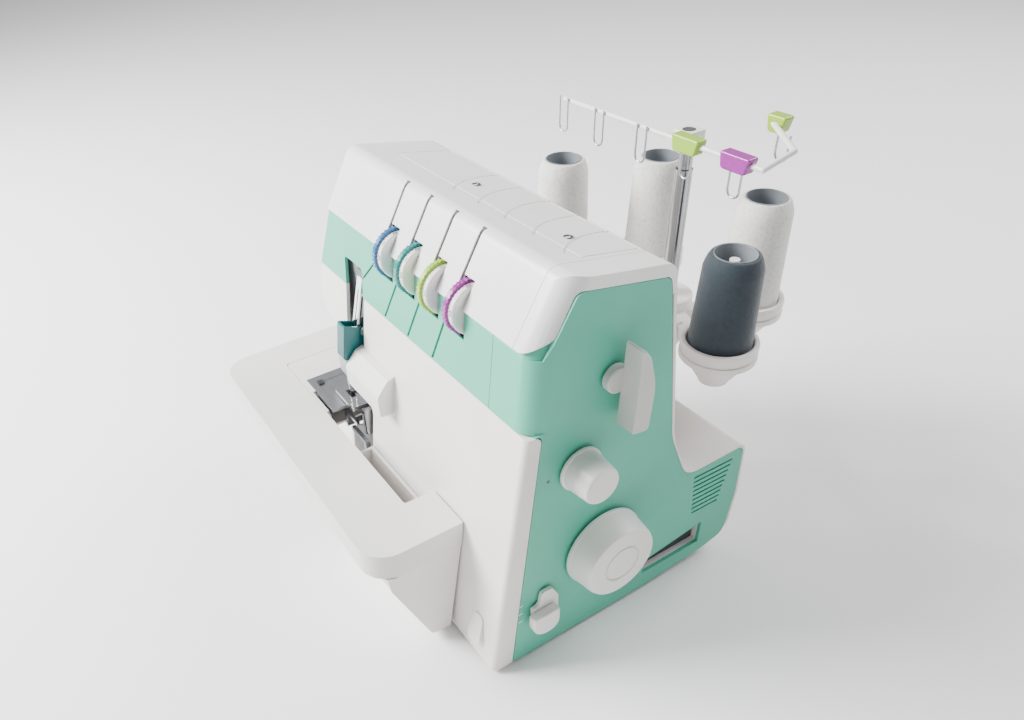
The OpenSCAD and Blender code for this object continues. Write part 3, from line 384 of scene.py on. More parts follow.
@dataclass
class Workshop:
    """Makes pieces, finishes them and hands them to the body they ride on."""

    frame: dict
    made: dict[str, Material] = field(default_factory=dict)
    count: int = 0

    def finish(self, kind: Finish) -> Material:
        """The material of a finish, made once."""
        if kind.name not in self.made:
            self.made[kind.name] = kind.build()
        return self.made[kind.name]

    def clear(self) -> None:
        """Deselects every object."""
        if bpy.context.object and bpy.context.object.mode != "OBJECT":
            bpy.ops.object.mode_set(mode="OBJECT")
        bpy.ops.object.select_all(action="DESELECT")

    def only(self, obj: Piece) -> None:
        """Selects one object and makes it the active one."""
        self.clear()
        obj.select_set(True)
        bpy.context.view_layer.objects.active = obj

    def edit(self, obj: Piece, everything: bool = True) -> None:
        """Enters edit mode on one object, with all or nothing selected."""
        self.only(obj)
        bpy.ops.object.mode_set(mode="EDIT")
        bpy.ops.mesh.select_all(action="SELECT" if everything else "DESELECT")

    def done(self) -> None:
        """Leaves edit mode."""
        bpy.ops.object.mode_set(mode="OBJECT")

    def settle(self) -> None:
        """Applies the transforms of the selected pieces."""
        bpy.ops.object.transform_apply(location=True, rotation=True, scale=True)

    def apply(self, obj: Piece, name: str, kind: str, **values: object) -> None:
        """Adds a modifier with the given values and applies it."""
        self.only(obj)
        modifier = obj.modifiers.new(name, kind)
        for key, value in values.items():
            setattr(modifier, key, value)
        bpy.ops.object.modifier_apply(modifier=name)

    def soften(self, obj: Piece, width: float = 0, segments: int = 2,
               smooth: float = 40.0) -> None:
        """Rounds a piece's edges and shades it smooth.

        Args:
            obj: the piece.
            width: width of the rounding in millimetres, or 0 for none.
            segments: faces across the rounding.
            smooth: edges flatter than this, in degrees, are shaded smooth.
        """
        if width > 0:
            self.apply(obj, "round", "BEVEL", width=width / MILLI, segments=segments,
                       limit_method="ANGLE", angle_limit=math.radians(EDGE_ANGLE),
                       use_clamp_overlap=True, miter_outer="MITER_ARC")
        self.only(obj)
        bpy.ops.object.shade_smooth_by_angle(angle=math.radians(smooth))
        self.apply(obj, "even", "WEIGHTED_NORMAL", keep_sharp=True, weight=80)

    def copy_node(self, node: str, name: str) -> Piece:
        """A merged copy of a CAD node's mesh, its flat faces made whole again."""
        mesh = self.frame["nodes"][node].data.copy()
        obj = bpy.data.objects.new(name, mesh)
        bpy.context.scene.collection.objects.link(obj)
        if mesh.has_custom_normals:
            self.only(obj)
            bpy.ops.mesh.customdata_custom_splitnormals_clear()
        self.edit(obj)
        bpy.ops.mesh.remove_doubles(threshold=MERGE)
        bpy.ops.mesh.dissolve_limited(angle_limit=math.radians(FLAT_ANGLE))
        bpy.ops.mesh.quads_convert_to_tris(quad_method="BEAUTY", ngon_method="BEAUTY")
        self.done()
        return obj

    def block(self, name: str, low: Point, high: Point) -> Piece:
        """A block between two corners, in housing millimetres."""
        self.clear()
        centre = [(a + b) / 2 for a, b in zip(low, high)]
        bpy.ops.mesh.primitive_cube_add(size=1.0, location=place(tuple(centre)))
        obj = bpy.context.object
        obj.name = name
        obj.scale = [(b - a) / MILLI for a, b in zip(low, high)]
        self.settle()
        return obj

    def disc(self, name: str, sides: int, radius: float, height: float = 0.0) -> Piece:
        """A filled circle round the Z axis, in millimetres."""
        self.clear()
        bpy.ops.mesh.primitive_circle_add(vertices=sides, radius=radius / MILLI,
                                          fill_type="NGON", location=(0, 0, height / MILLI))
        bpy.context.object.name = name
        return bpy.context.object

    def close(self) -> None:
        """Turns the faces of the piece in hand outwards and leaves edit mode."""
        bpy.ops.mesh.select_all(action="SELECT")
        bpy.ops.mesh.normals_make_consistent(inside=False)
        self.done()

    def turned(self, name: str, profile: Sequence[Flat], centre: Point,
               axis: Axis = Axis.Z, sides: int = 64) -> Piece:
        """A turned piece, drawn ring by ring from a circle.

        Args:
            name: the piece's name.
            profile: radius and height of each ring in millimetres, from one end to the other.
            centre: the point of the axis at height 0, in housing millimetres.
            axis: direction of the axis.
            sides: sides of the circle.

        Returns:
            The piece, with closed ends.
        """
        obj = self.disc(name, sides, *profile[0])
        self.settle()
        self.edit(obj)
        for (r0, h0), (r1, h1) in zip(profile, profile[1:]):
            bpy.ops.mesh.extrude_region_move(
                TRANSFORM_OT_translate={"value": (0, 0, (h1 - h0) / MILLI)})
            if abs(r1 - r0) > 1e-6:
                bpy.ops.transform.resize(value=(r1 / r0, r1 / r0, 1.0),
                                         center_override=(0.0, 0.0, h1 / MILLI))
        self.close()
        obj.matrix_world = Matrix.Translation(place(centre)) @ axis.turn()
        self.only(obj)
        self.settle()
        return obj

    def drawn(self, name: str, outline: Sequence[Flat], low: float, high: float,
              axis: Axis = Axis.X) -> Piece:
        """A prism drawn from a flat outline.

        Args:
            name: the piece's name.
            outline: its corners in millimetres, in order round it.
            low: where the prism starts along the axis.
            high: where it ends.
            axis: direction of its depth.

        Returns:
            The closed prism.
        """
        obj = self.disc(name, len(outline), 10.0)
        for vertex, (across, up) in zip(obj.data.vertices, outline):
            vertex.co = place(axis.lift(across, up, low))
        self.edit(obj)
        depth = place(axis.lift(0, 0, high)) - place(axis.lift(0, 0, low))
        bpy.ops.mesh.extrude_region_move(TRANSFORM_OT_translate={"value": tuple(depth)})
        self.close()
        return obj

    def carve(self, obj: Piece, tool: Piece, how: str = "DIFFERENCE") -> None:
        """Cuts a tool's shape out of a piece, or joins it on, and clears the tool away."""
        self.apply(obj, how.lower(), "BOOLEAN", operation=how, object=tool, solver="EXACT")
        bpy.data.objects.remove(tool)

    def hand_in(self, obj: Piece, kind: Finish, body: str,
                *nodes: str, slot: str | None = None) -> Piece:
        """Dresses a piece, lets it ride on its body and hides the nodes it stands for."""
        obj.data.materials.clear()
        obj.data.materials.append(self.finish(kind))
        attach(obj, body)
        if nodes:
            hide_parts(*nodes)
        self.count += 1
        LOG.info("%s rides on %s with %d faces", obj.name, body, len(obj.data.polygons))
        return obj

    def redress(self, node: str, name: str, kind: Finish, width: float,
                segments: int = 2) -> Piece:
        """Stands a copy with rounded edges in for a CAD node."""
        obj = self.copy_node(node, name)
        self.soften(obj, width, segments)
        body = self.frame["nodes"][node]["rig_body"]
        return self.hand_in(obj, kind, body, node)


# ------------------------ assemblies


@dataclass
class Housing:
    """The moulded covers, the floor plate, the screws on the cap and the painted shade in its
    thread slots.
    """

    shop: Workshop
    curve_steps: int = 8
    # mint side: the patch over the solid's vents, the corner behind the door, the vents
    patch: Profile = ((58, 56), (103.4, 56), (103.4, 102.5), (58, 102.5))
    patch_depth: Flat = (124.2, 127.0)
    corner: Outline = ((-75, 202.5, 5), (-98.4, 3, 0), (-93, 202.5, 0))
    corner_tip: Flat = (-74.0, 203.5)
    corner_depth: Flat = (123.0, 126.9)
    vent_count: int = 9
    vent_spot: Flat = (62.0, 95.0)
    vent_step: Flat = (0.5, 4.7)
    vent_reach: float = 39.0
    vent_taper: float = 1.5
    vent_fall: float = 2.0
    vent_height: float = 1.8
    vent_depth: Flat = (120.0, 130.0)
    # dark back of the power inlet
    socket: Profile = ((22.6, 19.6), (79.4, 19.6), (79.4, 40.4), (22.6, 32.5))
    socket_depth: Flat = (118.6, 120.2)
    # inner skins behind the seams, each inside the wall of the cover that it backs
    throat_skin: Outline = (
        (31.4, 157, 0), (33.05, 145.6, 61.4), (51.6, 103.6, 19.4), (66, 103.6, 0),
        (66, 102.6, 0), (40, 102.6, 0), (32.5, 123, 0), (27.5, 150, 0), (26.5, 157, 0))
    throat_depth: Flat = (-64.8, -63.0)
    end_skin: Outline = (
        (50, 103, 0), (111.9, 103, 6.2), (114.3, 54, 60), (111.7, 22.9, 6.6), (99.3, 11.2, 0),
        (95, 13, 0), (50, 13, 0))
    end_depth: Flat = (-125.8, -124.6)
    head_skin: Outline = (
        (-126, 296, 0), (-126, 253.4, 41), (-149.04, 202.68, 29), (-153.13, 184.68, 0),
        (-151.97, 184.4, 0), (-147.88, 202.35, 27.8), (-124.8, 253.13, 42.2), (-124.8, 296, 0))
    head_depth: Flat = (-100.0, 40.0)
    head_limit: Outline = (
        (-84.6, 203.5, 0), (-79.9, 249, 0), (-80.7, 253.4, 0), (-57.4, 293.1, 7.8),
        (13.5, 279.9, 8.8), (16.3, 261.3, 0), (27.3, 185, 0), (-84, 185, 0))
    limit_depth: Flat = (-160.0, -120.0)
    # painted shade: dark strips a little way down the thread slots, along the cap's slope,
    # standing for the shade inside the slots
    shade_span: Flat = (8.0, 47.2)
    shade_sink: float = 1.1
    shade_thick: float = 0.7
    shade_half: float = 1.28
    # screws of the cap
    top_front: Flat = (-58.0, 294.5)
    top_fall: float = 13.5 / 72.6
    screw_spots: Profile = ((-21.5, -19.3), (76.6, -21.5))
    screw: Profile = ((3.4, -1.2), (3.4, 0.1), (3, 0.35), (1.6, 0.35), (1.3, -0.4))

    def covers(self) -> None:
        """Rounds and dresses each cover."""
        shop = self.shop
        self.side_shell()
        shop.redress("front_band", "mint_band", MINT, 0.6)
        shop.redress("top_cap", "cap_shell", TOP_WHITE, 0.4)
        shop.redress("cap_corner", "cap_end", TOP_WHITE, 0.8)
        shop.redress("rear_cover", "rear_shell", SHELL, 0.7)
        shop.redress("left_cover", "head_end", SHELL, 0.7)
        shop.redress("base_cover", "base_shell", SHELL, 0.6)
        shop.redress("needle_pocket", "pocket_liner", POCKET, 0.3)
        shop.redress("bottom_plate", "floor_plate", GREY, 0.5)
        shop.redress("rubber_feet", "feet", RUBBER, 0.5)
        shop.redress("power_inlet", "inlet_tray", CONTROL_WHITE, 0.4)
        socket = shop.drawn("inlet_socket", self.socket, *self.socket_depth)
        shop.soften(socket, 0.4)
        shop.hand_in(socket, DARK, "machine", slot="dark_plastic")

    def side_shell(self) -> None:
        """The mint side with its level vent slots and the corner behind the door."""
        shop = self.shop
        shell = shop.copy_node("right_cover", "side_shell")
        shop.carve(shell, shop.drawn("old_vents", self.patch, *self.patch_depth), "UNION")
        arc = rounded(self.corner, self.curve_steps)[:self.curve_steps + 1]
        fillet = shop.drawn("door_corner", [self.corner_tip, *arc], *self.corner_depth)
        shop.carve(shell, fillet, "UNION")
        tall = self.vent_height
        for k in range(self.vent_count):
            y = self.vent_spot[0] + self.vent_step[0] * k
            z = self.vent_spot[1] - self.vent_step[1] * k
            reach = self.vent_reach - self.vent_taper * k
            fall = reach * math.tan(math.radians(self.vent_fall))
            corners = [(y, z), (y + reach, z - fall), (y + reach, z - fall + tall),
                       (y, z + tall)]
            shop.carve(shell, shop.drawn(f"slot_{k}", corners, *self.vent_depth))
        shop.soften(shell, 0.6)
        shop.hand_in(shell, MINT, "machine", "right_cover")

    def backings(self) -> None:
        """Inner skins that close the seams at the left end and beside the throat."""
        shop = self.shop
        steps = self.curve_steps
        throat = shop.drawn("throat_backing", rounded(self.throat_skin, steps),
                            *self.throat_depth)
        end = shop.drawn("end_backing", rounded(self.end_skin, steps), *self.end_depth)
        head = shop.drawn("head_backing", rounded(self.head_skin, steps), *self.head_depth,
                          Axis.Y)
        limit = shop.drawn("side_limit", rounded(self.head_limit, steps), *self.limit_depth)
        shop.carve(head, limit, "INTERSECT")
        for piece in (throat, end, head):
            shop.soften(piece, 0.2)
            shop.hand_in(piece, SHELL, "machine", slot="shell")

    def slot_shade(self) -> None:
        """Painted shade: dark strips a little way down the thread slots of the cap, standing
        for the shade inside them.
        """
        rise = Vector((0.0, *CAP_RISE)).normalized()
        out = Vector((0.0, -CAP_RISE[1], CAP_RISE[0])).normalized()
        start, stop = self.shade_span
        thick = self.shade_thick
        for k in range(SLOT_COUNT):
            x = FIRST_SLOT + SLOT_PITCH * k
            foot = Vector((x, *CAP_FOOT)) - out * self.shade_sink
            corners = [foot + rise * along - out * down for along, down in
                       ((start, 0), (stop, 0), (stop, thick), (start, thick))]
            shade = self.shop.drawn(f"slot_shade_{k}", [(c.y, c.z) for c in corners],
                                    x - self.shade_half, x + self.shade_half)
            self.shop.hand_in(shade, DARK, "machine", slot="dark_plastic")

    def cap_screws(self) -> None:
        """Two dark screws sunk in the cap."""
        for n, (x, y) in enumerate(self.screw_spots):
            z = self.top_front[1] - (y - self.top_front[0]) * self.top_fall
            screw = self.shop.turned(f"cap_screw_{n}", self.screw, (x, y, z), Axis.Z, 32)
            self.shop.soften(screw)
            self.shop.hand_in(screw, DARK_STEEL, "machine", slot="dark_steel")

    def build(self) -> None:
        """Builds the housing."""
        self.covers()
        self.cap_screws()
        self.slot_shade()
        self.backings()


@dataclass
class FrontDoor:
    """The sliding front cover with its tab and knife guard."""

    shop: Workshop
    left: float = -76.0
    right: float = 126.8
    wall: float = 2.8
    profile: Outline = ((-115, 3, 0), (-86, 201.8, 0), (-75.5, 201.8, 5), (-98.8, 3, 0))
    hollow: Profile = ((-111.8, 5.8), (-83.8, 198.6), (-70, 198.6), (-92.8, 5.8))
    bay: Outline = ((-77, -1, 0), (-60, -1, 0), (-60, 118, 8), (-77, 118, 0))
    bay_depth: Flat = (-130, -80)
    edge_radius: float = 5.0
    slack: float = 0.00002  # points this close to the side lie on it, in metres
    upright: float = 0.05  # an edge that rises more than this is rounded, in metres

    def shell(self) -> None:
        """The hollow cover, its right side turned back to the mint panel."""
        shop = self.shop
        door = shop.drawn("door_shell", rounded(self.profile), self.left, self.right)
        self.round_edge(door)
        inner = shop.drawn("door_hollow", self.hollow, self.left - 1, self.right - self.wall)
        shop.carve(door, inner)
        bay = shop.drawn("looper_bay", rounded(self.bay), *self.bay_depth, Axis.Y)
        shop.carve(door, bay)
        shop.soften(door, 1.0, 3)
        shop.hand_in(door, SHELL, "front_door", "looper_cover")

    def round_edge(self, door: Piece) -> None:
        """Rounds the upright edge between the door's front and its right side."""
        shop = self.shop
        shop.edit(door, False)
        shop.done()
        side = place((self.right, 0, 0)).x - self.slack / 2
        front = place((0, self.profile[1][0] + 0.5, 0)).y
        for line in door.data.edges:
            ends = [door.data.vertices[k].co for k in line.vertices]
            beside = all(abs(p.x - side) < self.slack and p.y < front for p in ends)
            line.select = beside and abs(ends[0].z - ends[1].z) > self.upright
        bpy.ops.object.mode_set(mode="EDIT")
        bpy.ops.mesh.select_mode(type="EDGE")
        bpy.ops.mesh.bevel(offset=self.edge_radius / MILLI, segments=5, affect="EDGES")
        shop.done()

    def build(self) -> None:
        """Builds the door."""
        self.shell()
        self.shop.redress("cover_tab", "door_tab", SHELL, 0.8, 3)
        self.shop.redress("knife_guard", "guard_block", CONTROL_WHITE, 2.4, 4)


@dataclass
class TensionDial:
    """One thumbwheel: a coloured ridged flange and a white graduated barrel."""

    shop: Workshop
    order: int
    tone: Finish
    node: str
    body: str
    slot: str
    radius: float = 18.0
    step: float = 2.0
    rim: float = 4.2
    width: float = 8.8
    inset: float = 2.6
    spot: Flat = (-73.5, 250.5)
    sides: int = 80
    ridge: float = 0.5
    ticks: int = 40
    figures: int = 10
    figure_size: float = 4.6
    figure_row: float = 2.7

    @property
    def left(self) -> float:
        """X of the flange's outer face."""
        return FIRST_SLOT + SLOT_PITCH * self.order + self.inset

    def flange(self) -> None:
        """The coloured rim with its grip ridges."""
        shop = self.shop
        y, z = self.spot
        r = self.radius
        rings = [(r - 3, 0.0), (r - 0.5, 0.4), (r - 0.5, self.rim - 0.4), (r - 1.0, self.rim)]
        rim = shop.turned(f"{self.node}_rim", rings, (self.left, y, z), Axis.X, self.sides)
        shop.edit(rim, False)
        shop.done()
        step = 2 * math.pi / self.sides
        middle = self.rim / 2 / MILLI
        for face in rim.data.polygons:
            mid = face.center - place((self.left, y, z))
            if abs(face.normal.x) < 0.2 and abs(mid.x - middle) < 0.001:
                face.select = round(math.atan2(mid.z, mid.y) / step - 0.5) % 2 == 0
        bpy.ops.object.mode_set(mode="EDIT")
        bpy.ops.mesh.select_mode(type="FACE")
        bpy.ops.mesh.extrude_region_shrink_fatten(
            TRANSFORM_OT_shrink_fatten={"value": self.ridge / MILLI})
        shop.done()
        shop.soften(rim)
        shop.hand_in(rim, self.tone, self.body, self.node)

    def barrel(self) -> None:
        """The pale barrel and its slightly dished end."""
        shop = self.shop
        y, z = self.spot
        r = self.radius - self.step
        end = self.width
        rings = [(r - 2, self.rim + 0.02), (r, self.rim + 0.1), (r, end - 0.7), (r - 0.7, end),
                 (r - 3.2, end), (r - 4.0, end - 0.5), (4.4, end - 0.5)]
        barrel = shop.turned(f"{self.node}_barrel", rings, (self.left, y, z), Axis.X,
                             self.sides)
        shop.soften(barrel, smooth=35)
        shop.hand_in(barrel, CONTROL_WHITE, self.body, slot=self.slot)

    def marks(self) -> None:
        """Ticks round the barrel, every fourth one longer, and plain figures."""
        shop = self.shop
        r = self.radius - self.step
        parts = []
        for k in range(self.ticks):
            length = 0.6 if k % 4 == 0 else 0.4
            tick = shop.block(f"{self.node}_tick_{k}", (-length, -0.22, -0.1),
                              (length, 0.22, 0.12))
            tick.data.transform(Matrix.Translation(-place((0, 0, 0))))
            parts.append(self.around(tick, self.rim + 0.2 + length, 360 / self.ticks * k, r))
        for k in range(self.figures):
            shop.clear()
            bpy.ops.object.text_add()
            text = bpy.context.object.data
            text.body = str(k)
            text.size = self.figure_size / MILLI
            text.offset = 0.00012
            text.align_x = "CENTER"
            text.align_y = "CENTER"
            text.extrude = 0.00008
            bpy.ops.object.convert(target="MESH")
            angle = 360 / self.figures * k + 360 / self.ticks
            parts.append(self.around(bpy.context.object, self.rim + self.figure_row, angle,
                                     r + 0.02))
        shop.clear()
        for part in parts:
            part.select_set(True)
        bpy.context.view_layer.objects.active = parts[0]
        bpy.ops.object.join()
        shop.settle()
        marks = bpy.context.object
        marks.name = f"{self.node}_figures"
        shop.hand_in(marks, self.tone, self.body, slot=self.slot)

    def around(self, mark: Piece, along: float, angle: float, radius: float) -> Piece:
        """Lays a mark on the barrel.

        Args:
            mark: the mark, made flat at the origin.
            along: distance from the rim's outer face, in millimetres.
            angle: angle round the dial's axis, in degrees.
            radius: distance from the axis, in millimetres.

        Returns:
            The mark.
        """
        y, z = self.spot
        turn = Matrix.Rotation(math.radians(angle), 4, "X")
        lift = Matrix.Translation((along / MILLI, 0, radius / MILLI))
        mark.matrix_world = Matrix.Translation(place((self.left, y, z))) @ turn @ lift
        return mark

    def build(self) -> None:
        """Builds the dial."""
        self.flange()
        self.barrel()
        self.marks()


@dataclass
class Controls:
    """Handwheel, stitch length knob, feed ratio lever and presser lifter."""

    shop: Workshop
    wheel: Profile = (
        (22, 0), (29.6, 0), (31, 1), (31, 3.2), (30.4, 4), (28.4, 18.6), (27.2, 21), (25, 22),
        (15.2, 22), (14.7, 21.6), (14.6, 20.9), (14, 20.7), (13.4, 20.9), (13.3, 21.6),
        (12.8, 22), (4, 21.7))
    wheel_spot: Point = (SIDE_FACE + 1.2, -24, 82)
    knob: Profile = (
        (14.5, 0), (15.5, 0.6), (15.5, 2.2), (14.6, 3), (12.9, 20.4), (12.2, 21.6),
        (10.6, 22.1), (4, 22.2))
    knob_spot: Point = (SIDE_FACE + 1.0, -47.5, 164.5)
    # painted shade: a dark disc standing for a small hole beside the knob
    dot: Profile = ((1.2, 0), (1.2, 0.12), (0.9, 0.16))
    dot_spot: Point = (SIDE_FACE - 0.04, -70.7, 164.2)
    plate: Outline = (
        (-84, 37, 8), (-62, 37, 8), (-62, 57, 6), (-67.5, 68, 3), (-76.5, 68, 3),
        (-78.5, 56, 4), (-84, 56, 2))
    plate_depth: Flat = (SIDE_FACE + 0.8, SIDE_FACE + 4.0)
    grip: Outline = ((-87.5, 33, 11), (-65.5, 33, 9), (-65.5, 53, 2), (-87.5, 53, 2))
    grip_depth: Flat = (SIDE_FACE + 3.9, SIDE_FACE + 11.0)
    tick_reach: Flat = (-93.2, -89.4)
    tick_feet: tuple[float, ...] = (44.0, 52.0, 60.0)
    tick_height: float = 0.9
    tick_depth: Flat = (SIDE_FACE - 0.05, SIDE_FACE + 0.1)
    boss: Profile = ((8, 0), (8.8, 0.6), (8.8, 5.2), (8, 6))
    boss_spot: Point = (SIDE_FACE + 1.0, -26.5, 223.6)
    fin: Outline = (
        (-23.8, 250.5, 1), (-18.2, 243.5, 14), (-11.8, 222, 45), (-13.6, 190.5, 3),
        (-25.8, 192.5, 1))
    fin_depth: Flat = (SIDE_FACE + 5.8, SIDE_FACE + 21)

    def knobs(self) -> None:
        """The dished handwheel with a ring on its face, and the tapered stitch knob."""
        for name, profile, spot, sides, body, node in (
                ("wheel", self.wheel, self.wheel_spot, 96, "drive_shaft", "handwheel"),
                ("knob", self.knob, self.knob_spot, 72, "stitch_length", "stitch_knob")):
            piece = self.shop.turned(name, profile, spot, Axis.X, sides)
            self.shop.soften(piece, smooth=35)
            self.shop.hand_in(piece, CONTROL_WHITE, body, node)

    def ratio_lever(self) -> None:
        """A half-moon grip on a back plate with an upper tab."""
        shop = self.shop
        plate = shop.drawn("ratio_plate", rounded(self.plate), *self.plate_depth)
        shop.soften(plate, 0.5)
        shop.hand_in(plate, CONTROL_WHITE, "feed_ratio", "feed_lever")
        grip = shop.drawn("ratio_grip", rounded(self.grip), *self.grip_depth)
        shop.soften(grip, 1.4, 3)
        shop.hand_in(grip, CONTROL_WHITE, "feed_ratio", slot="shell")

    def lifter(self) -> None:
        """The lifter's round boss and its flat-faced, bow-backed fin."""
        shop = self.shop
        boss = shop.turned("lifter_boss", self.boss, self.boss_spot, Axis.X)
        shop.soften(boss)
        shop.hand_in(boss, GREY, "lifter", "presser_lifter")
        fin = shop.drawn("lifter_fin", rounded(self.fin, 8), *self.fin_depth)
        shop.soften(fin, 1.0, 3)
        shop.hand_in(fin, GREY, "lifter", slot="shell")

    def marks(self) -> None:
        """Pale ticks beside the lever, and a dark disc beside the knob that is painted shade of
        a small hole.
        """
        shop = self.shop
        back, ahead = self.tick_reach
        for k, z in enumerate(self.tick_feet):
            top = z + self.tick_height
            corners = [(back, z), (ahead, z), (ahead, top), (back, top)]
            tick = shop.drawn(f"lever_tick_{k}", corners, *self.tick_depth)
            shop.hand_in(tick, PAINT_PALE, "machine", slot="shell")
        dot = shop.turned("knob_hole_shade", self.dot, self.dot_spot, Axis.X, 24)
        shop.hand_in(dot, SEAM, "machine", slot="dark_plastic")

    def build(self) -> None:
        """Builds the controls."""
        self.marks()
        self.knobs()
        self.ratio_lever()
        self.lifter()


@dataclass
class SewingHead:
    """Needles, presser, knives, loopers, plates and the eye guard."""

    shop: Workshop

    def build(self) -> None:
        """Builds the sewing parts."""
        shop = self.shop
        shop.redress("needle_bar", "needle_rod", STEEL, 0.3)
        shop.redress("needle_clamp", "clamp", STEEL, 0.5)
        shop.redress("needles", "needle_pair", CHROME, 0)
        shop.redress("presser_bar", "presser_rod", STEEL, 0.3)
        shop.redress("presser_foot", "foot", CHROME, 0.35)
        shop.redress("take_up_guide", "thread_plate", CHROME, 0.4)
        shop.redress("upper_knife", "moving_blade", STEEL, 0.15)
        shop.redress("lower_knife", "fixed_blade", DARK_STEEL, 0.15)
        shop.redress("upper_looper", "high_looper", DARK_STEEL, 0.3)
        shop.redress("lower_looper", "low_looper", STEEL, 0.3)
        shop.redress("feed_dogs", "feed_teeth", DARK_STEEL, 0.1)
        shop.redress("needle_plate", "stitch_plate", PLATE_STEEL, 0.3)
        shop.redress("plate_screws", "plate_screw_pair", DARK, 0.2)
        shop.redress("finger_guard", "eye_shield", GUARD_TEAL, 0.5, 3)
        shop.redress("fabric_plate", "bed_plate", TABLE_WHITE, 0.5)
        shop.redress("bed_housing", "bed_shell", SHELL, 0.8)
        shop.redress("tension_discs", "tension_posts", STEEL, 0.1)


@dataclass
class ExtensionTable:
    """The table that extends the bed, and the waste tray under it."""

    shop: Workshop

    def build(self) -> None:
        """Builds the table and the tray."""
        self.shop.redress("extension_table", "table_top", TABLE_WHITE, 2.2, 4)
        self.shop.redress("waste_tray", "tray_shell", SHELL, 0.8)


@dataclass
class ThreadCone:
    """A cone of thread on its core."""

    shop: Workshop
    node: str
    body: str
    spot: Flat
    height: float
    yarn: Finish
    slot: str
    base: float = 23.0
    taper: float = 2.6
    layers: int = 46
    ridge: float = 0.16
    foot: Profile = ((20, 0.4), (22.2, 0.9), (23, 3))
    # radius, and height counted from the top of the thread
    mouth: Profile = (
        (19.6, -6.5), (18.4, -3.2), (17.2, -1), (16, 0), (14.8, -0.3), (13.9, -6),
        (12.9, -13.6))
    lining: Profile = (
        (12.8, -13.5), (13.8, -6), (14.7, -0.4), (14.6, 0.3), (14.2, 0.4), (13.9, -0.2),
        (13.1, -6), (12.1, -12.9), (5.4, -13))

    def thread(self) -> None:
        """The wound thread, with the ridges of its layers."""
        shop = self.shop
        h = self.height
        rings = list(self.foot)
        for k in range(1, self.layers):
            t = k / self.layers
            z = 3.0 + (h - 12.0) * t
            r = self.base - self.taper * t
            rings.append((r + (self.ridge if k % 2 else -self.ridge), z))
        rings += [(r, h + drop) for r, drop in self.mouth]
        yarn = shop.turned(f"{self.node}_thread", rings, (*self.spot, CONE_FOOT), Axis.Z, 72)
        shop.soften(yarn, smooth=60)
        shop.hand_in(yarn, self.yarn, self.body, self.node)

    def core(self) -> None:
        """The plastic core that lines the mouth of the thread."""
        shop = self.shop
        rings = [(r, self.height + drop) for r, drop in self.lining]
        core = shop.turned(f"{self.node}_core", rings, (*self.spot, CONE_FOOT))
        shop.soften(core)
        shop.hand_in(core, CORE_GREY, self.body, slot=self.slot)

    def build(self) -> None:
        """Builds the cone."""
        self.thread()
        self.core()


@dataclass
class ThreadStand:
    """The stand with its cups, pins, telescopic pole and thread guides."""

    shop: Workshop
    cup: Profile = (
        (11.1, 135), (13, 138), (19.5, 148), (25, 156), (27.6, 163), (28, 168), (27.4, 169.6),
        (25.6, 170), (24.2, 169.4), (23.5, 167.5), (23.4, 160.4))
    clip_rise: float = 5.0
    clip_drop: float = 6.6
    clip_draft: Flat = (3.0, 2.0)  # how far the right and left sides lean in
    clip_half_depth: float = 4.8

    def clips(self) -> None:
        """Two tapered clips on the bar and a short one at its turned-back end."""
        shop = self.shop
        right, left = self.clip_draft
        for name, tone, slot, x, y, z, half in (
                ("clip_lime", LIME, "lime", 10, 138, 286, 13),
                ("clip_magenta", MAGENTA, "magenta", 55, 138, 286, 13),
                ("clip_end", LIME, "lime", 48, 182, 300, 8)):
            top, low = z + self.clip_rise, z - self.clip_drop
            clip = shop.drawn(
                name, rounded([(x - half, top, 1.5), (x + half, top, 1.5),
                               (x + half - right, low, 3), (x - half + left, low, 3)]),
                y - self.clip_half_depth, y + self.clip_half_depth, Axis.Y)
            shop.soften(clip, 1.3, 3)
            if name == "clip_lime":
                shop.hand_in(clip, tone, "thread_mast", "thread_clips")
            else:
                shop.hand_in(clip, tone, "thread_mast", slot=slot)

    def cups(self) -> None:
        """The bowl that each cone sinks into, flared from its pad."""
        shop = self.shop
        for k, (x, y) in enumerate(CONE_SPOTS):
            cup = shop.turned(f"cone_cup_{k}", self.cup, (x, y, 0), Axis.Z, 72)
            shop.soften(cup, smooth=50)
            shop.hand_in(cup, SHELL, "machine", slot="shell")

    def build(self) -> None:
        """Builds the stand."""
        shop = self.shop
        shop.redress("spool_stand", "stand_frame", SHELL, 0.8)
        shop.redress("stand_screws", "stand_screw_pair", STEEL, 0.2)
        shop.redress("spool_pins", "cone_pins", CONTROL_WHITE, 1.0, 3)
        shop.redress("pole_outer", "lower_pole", POLE_CHROME, 0.3)
        shop.redress("pole_inner", "upper_pole", POLE_CHROME, 0.3)
        self.cups()
        shop.redress("guide_bar", "guide_rod", CONTROL_WHITE, 0.3)
        shop.redress("guide_hooks", "wire_eyelets", WIRE, 0)
        self.clips()


@dataclass
class Drive:
    """The chassis, motor and shafts inside."""

    shop: Workshop

    def build(self) -> None:
        """Builds the inside."""
        shop = self.shop
        shop.redress("chassis", "cast_frame", ALLOY, 0.6)
        shop.redress("shaft_bushes", "bush_pair", BRONZE, 0.2)
        shop.redress("motor", "motor_case", MOTOR_GREY, 1.5, 3)
        shop.redress("drive_belt", "belt_loop", RUBBER, 0.3)
        shop.redress("main_shaft", "shaft", STEEL, 0.4)
        shop.redress("shaft_pulley", "big_pulley", DARK, 0.5)
        shop.redress("motor_pulley", "small_pulley", STEEL, 0.4)


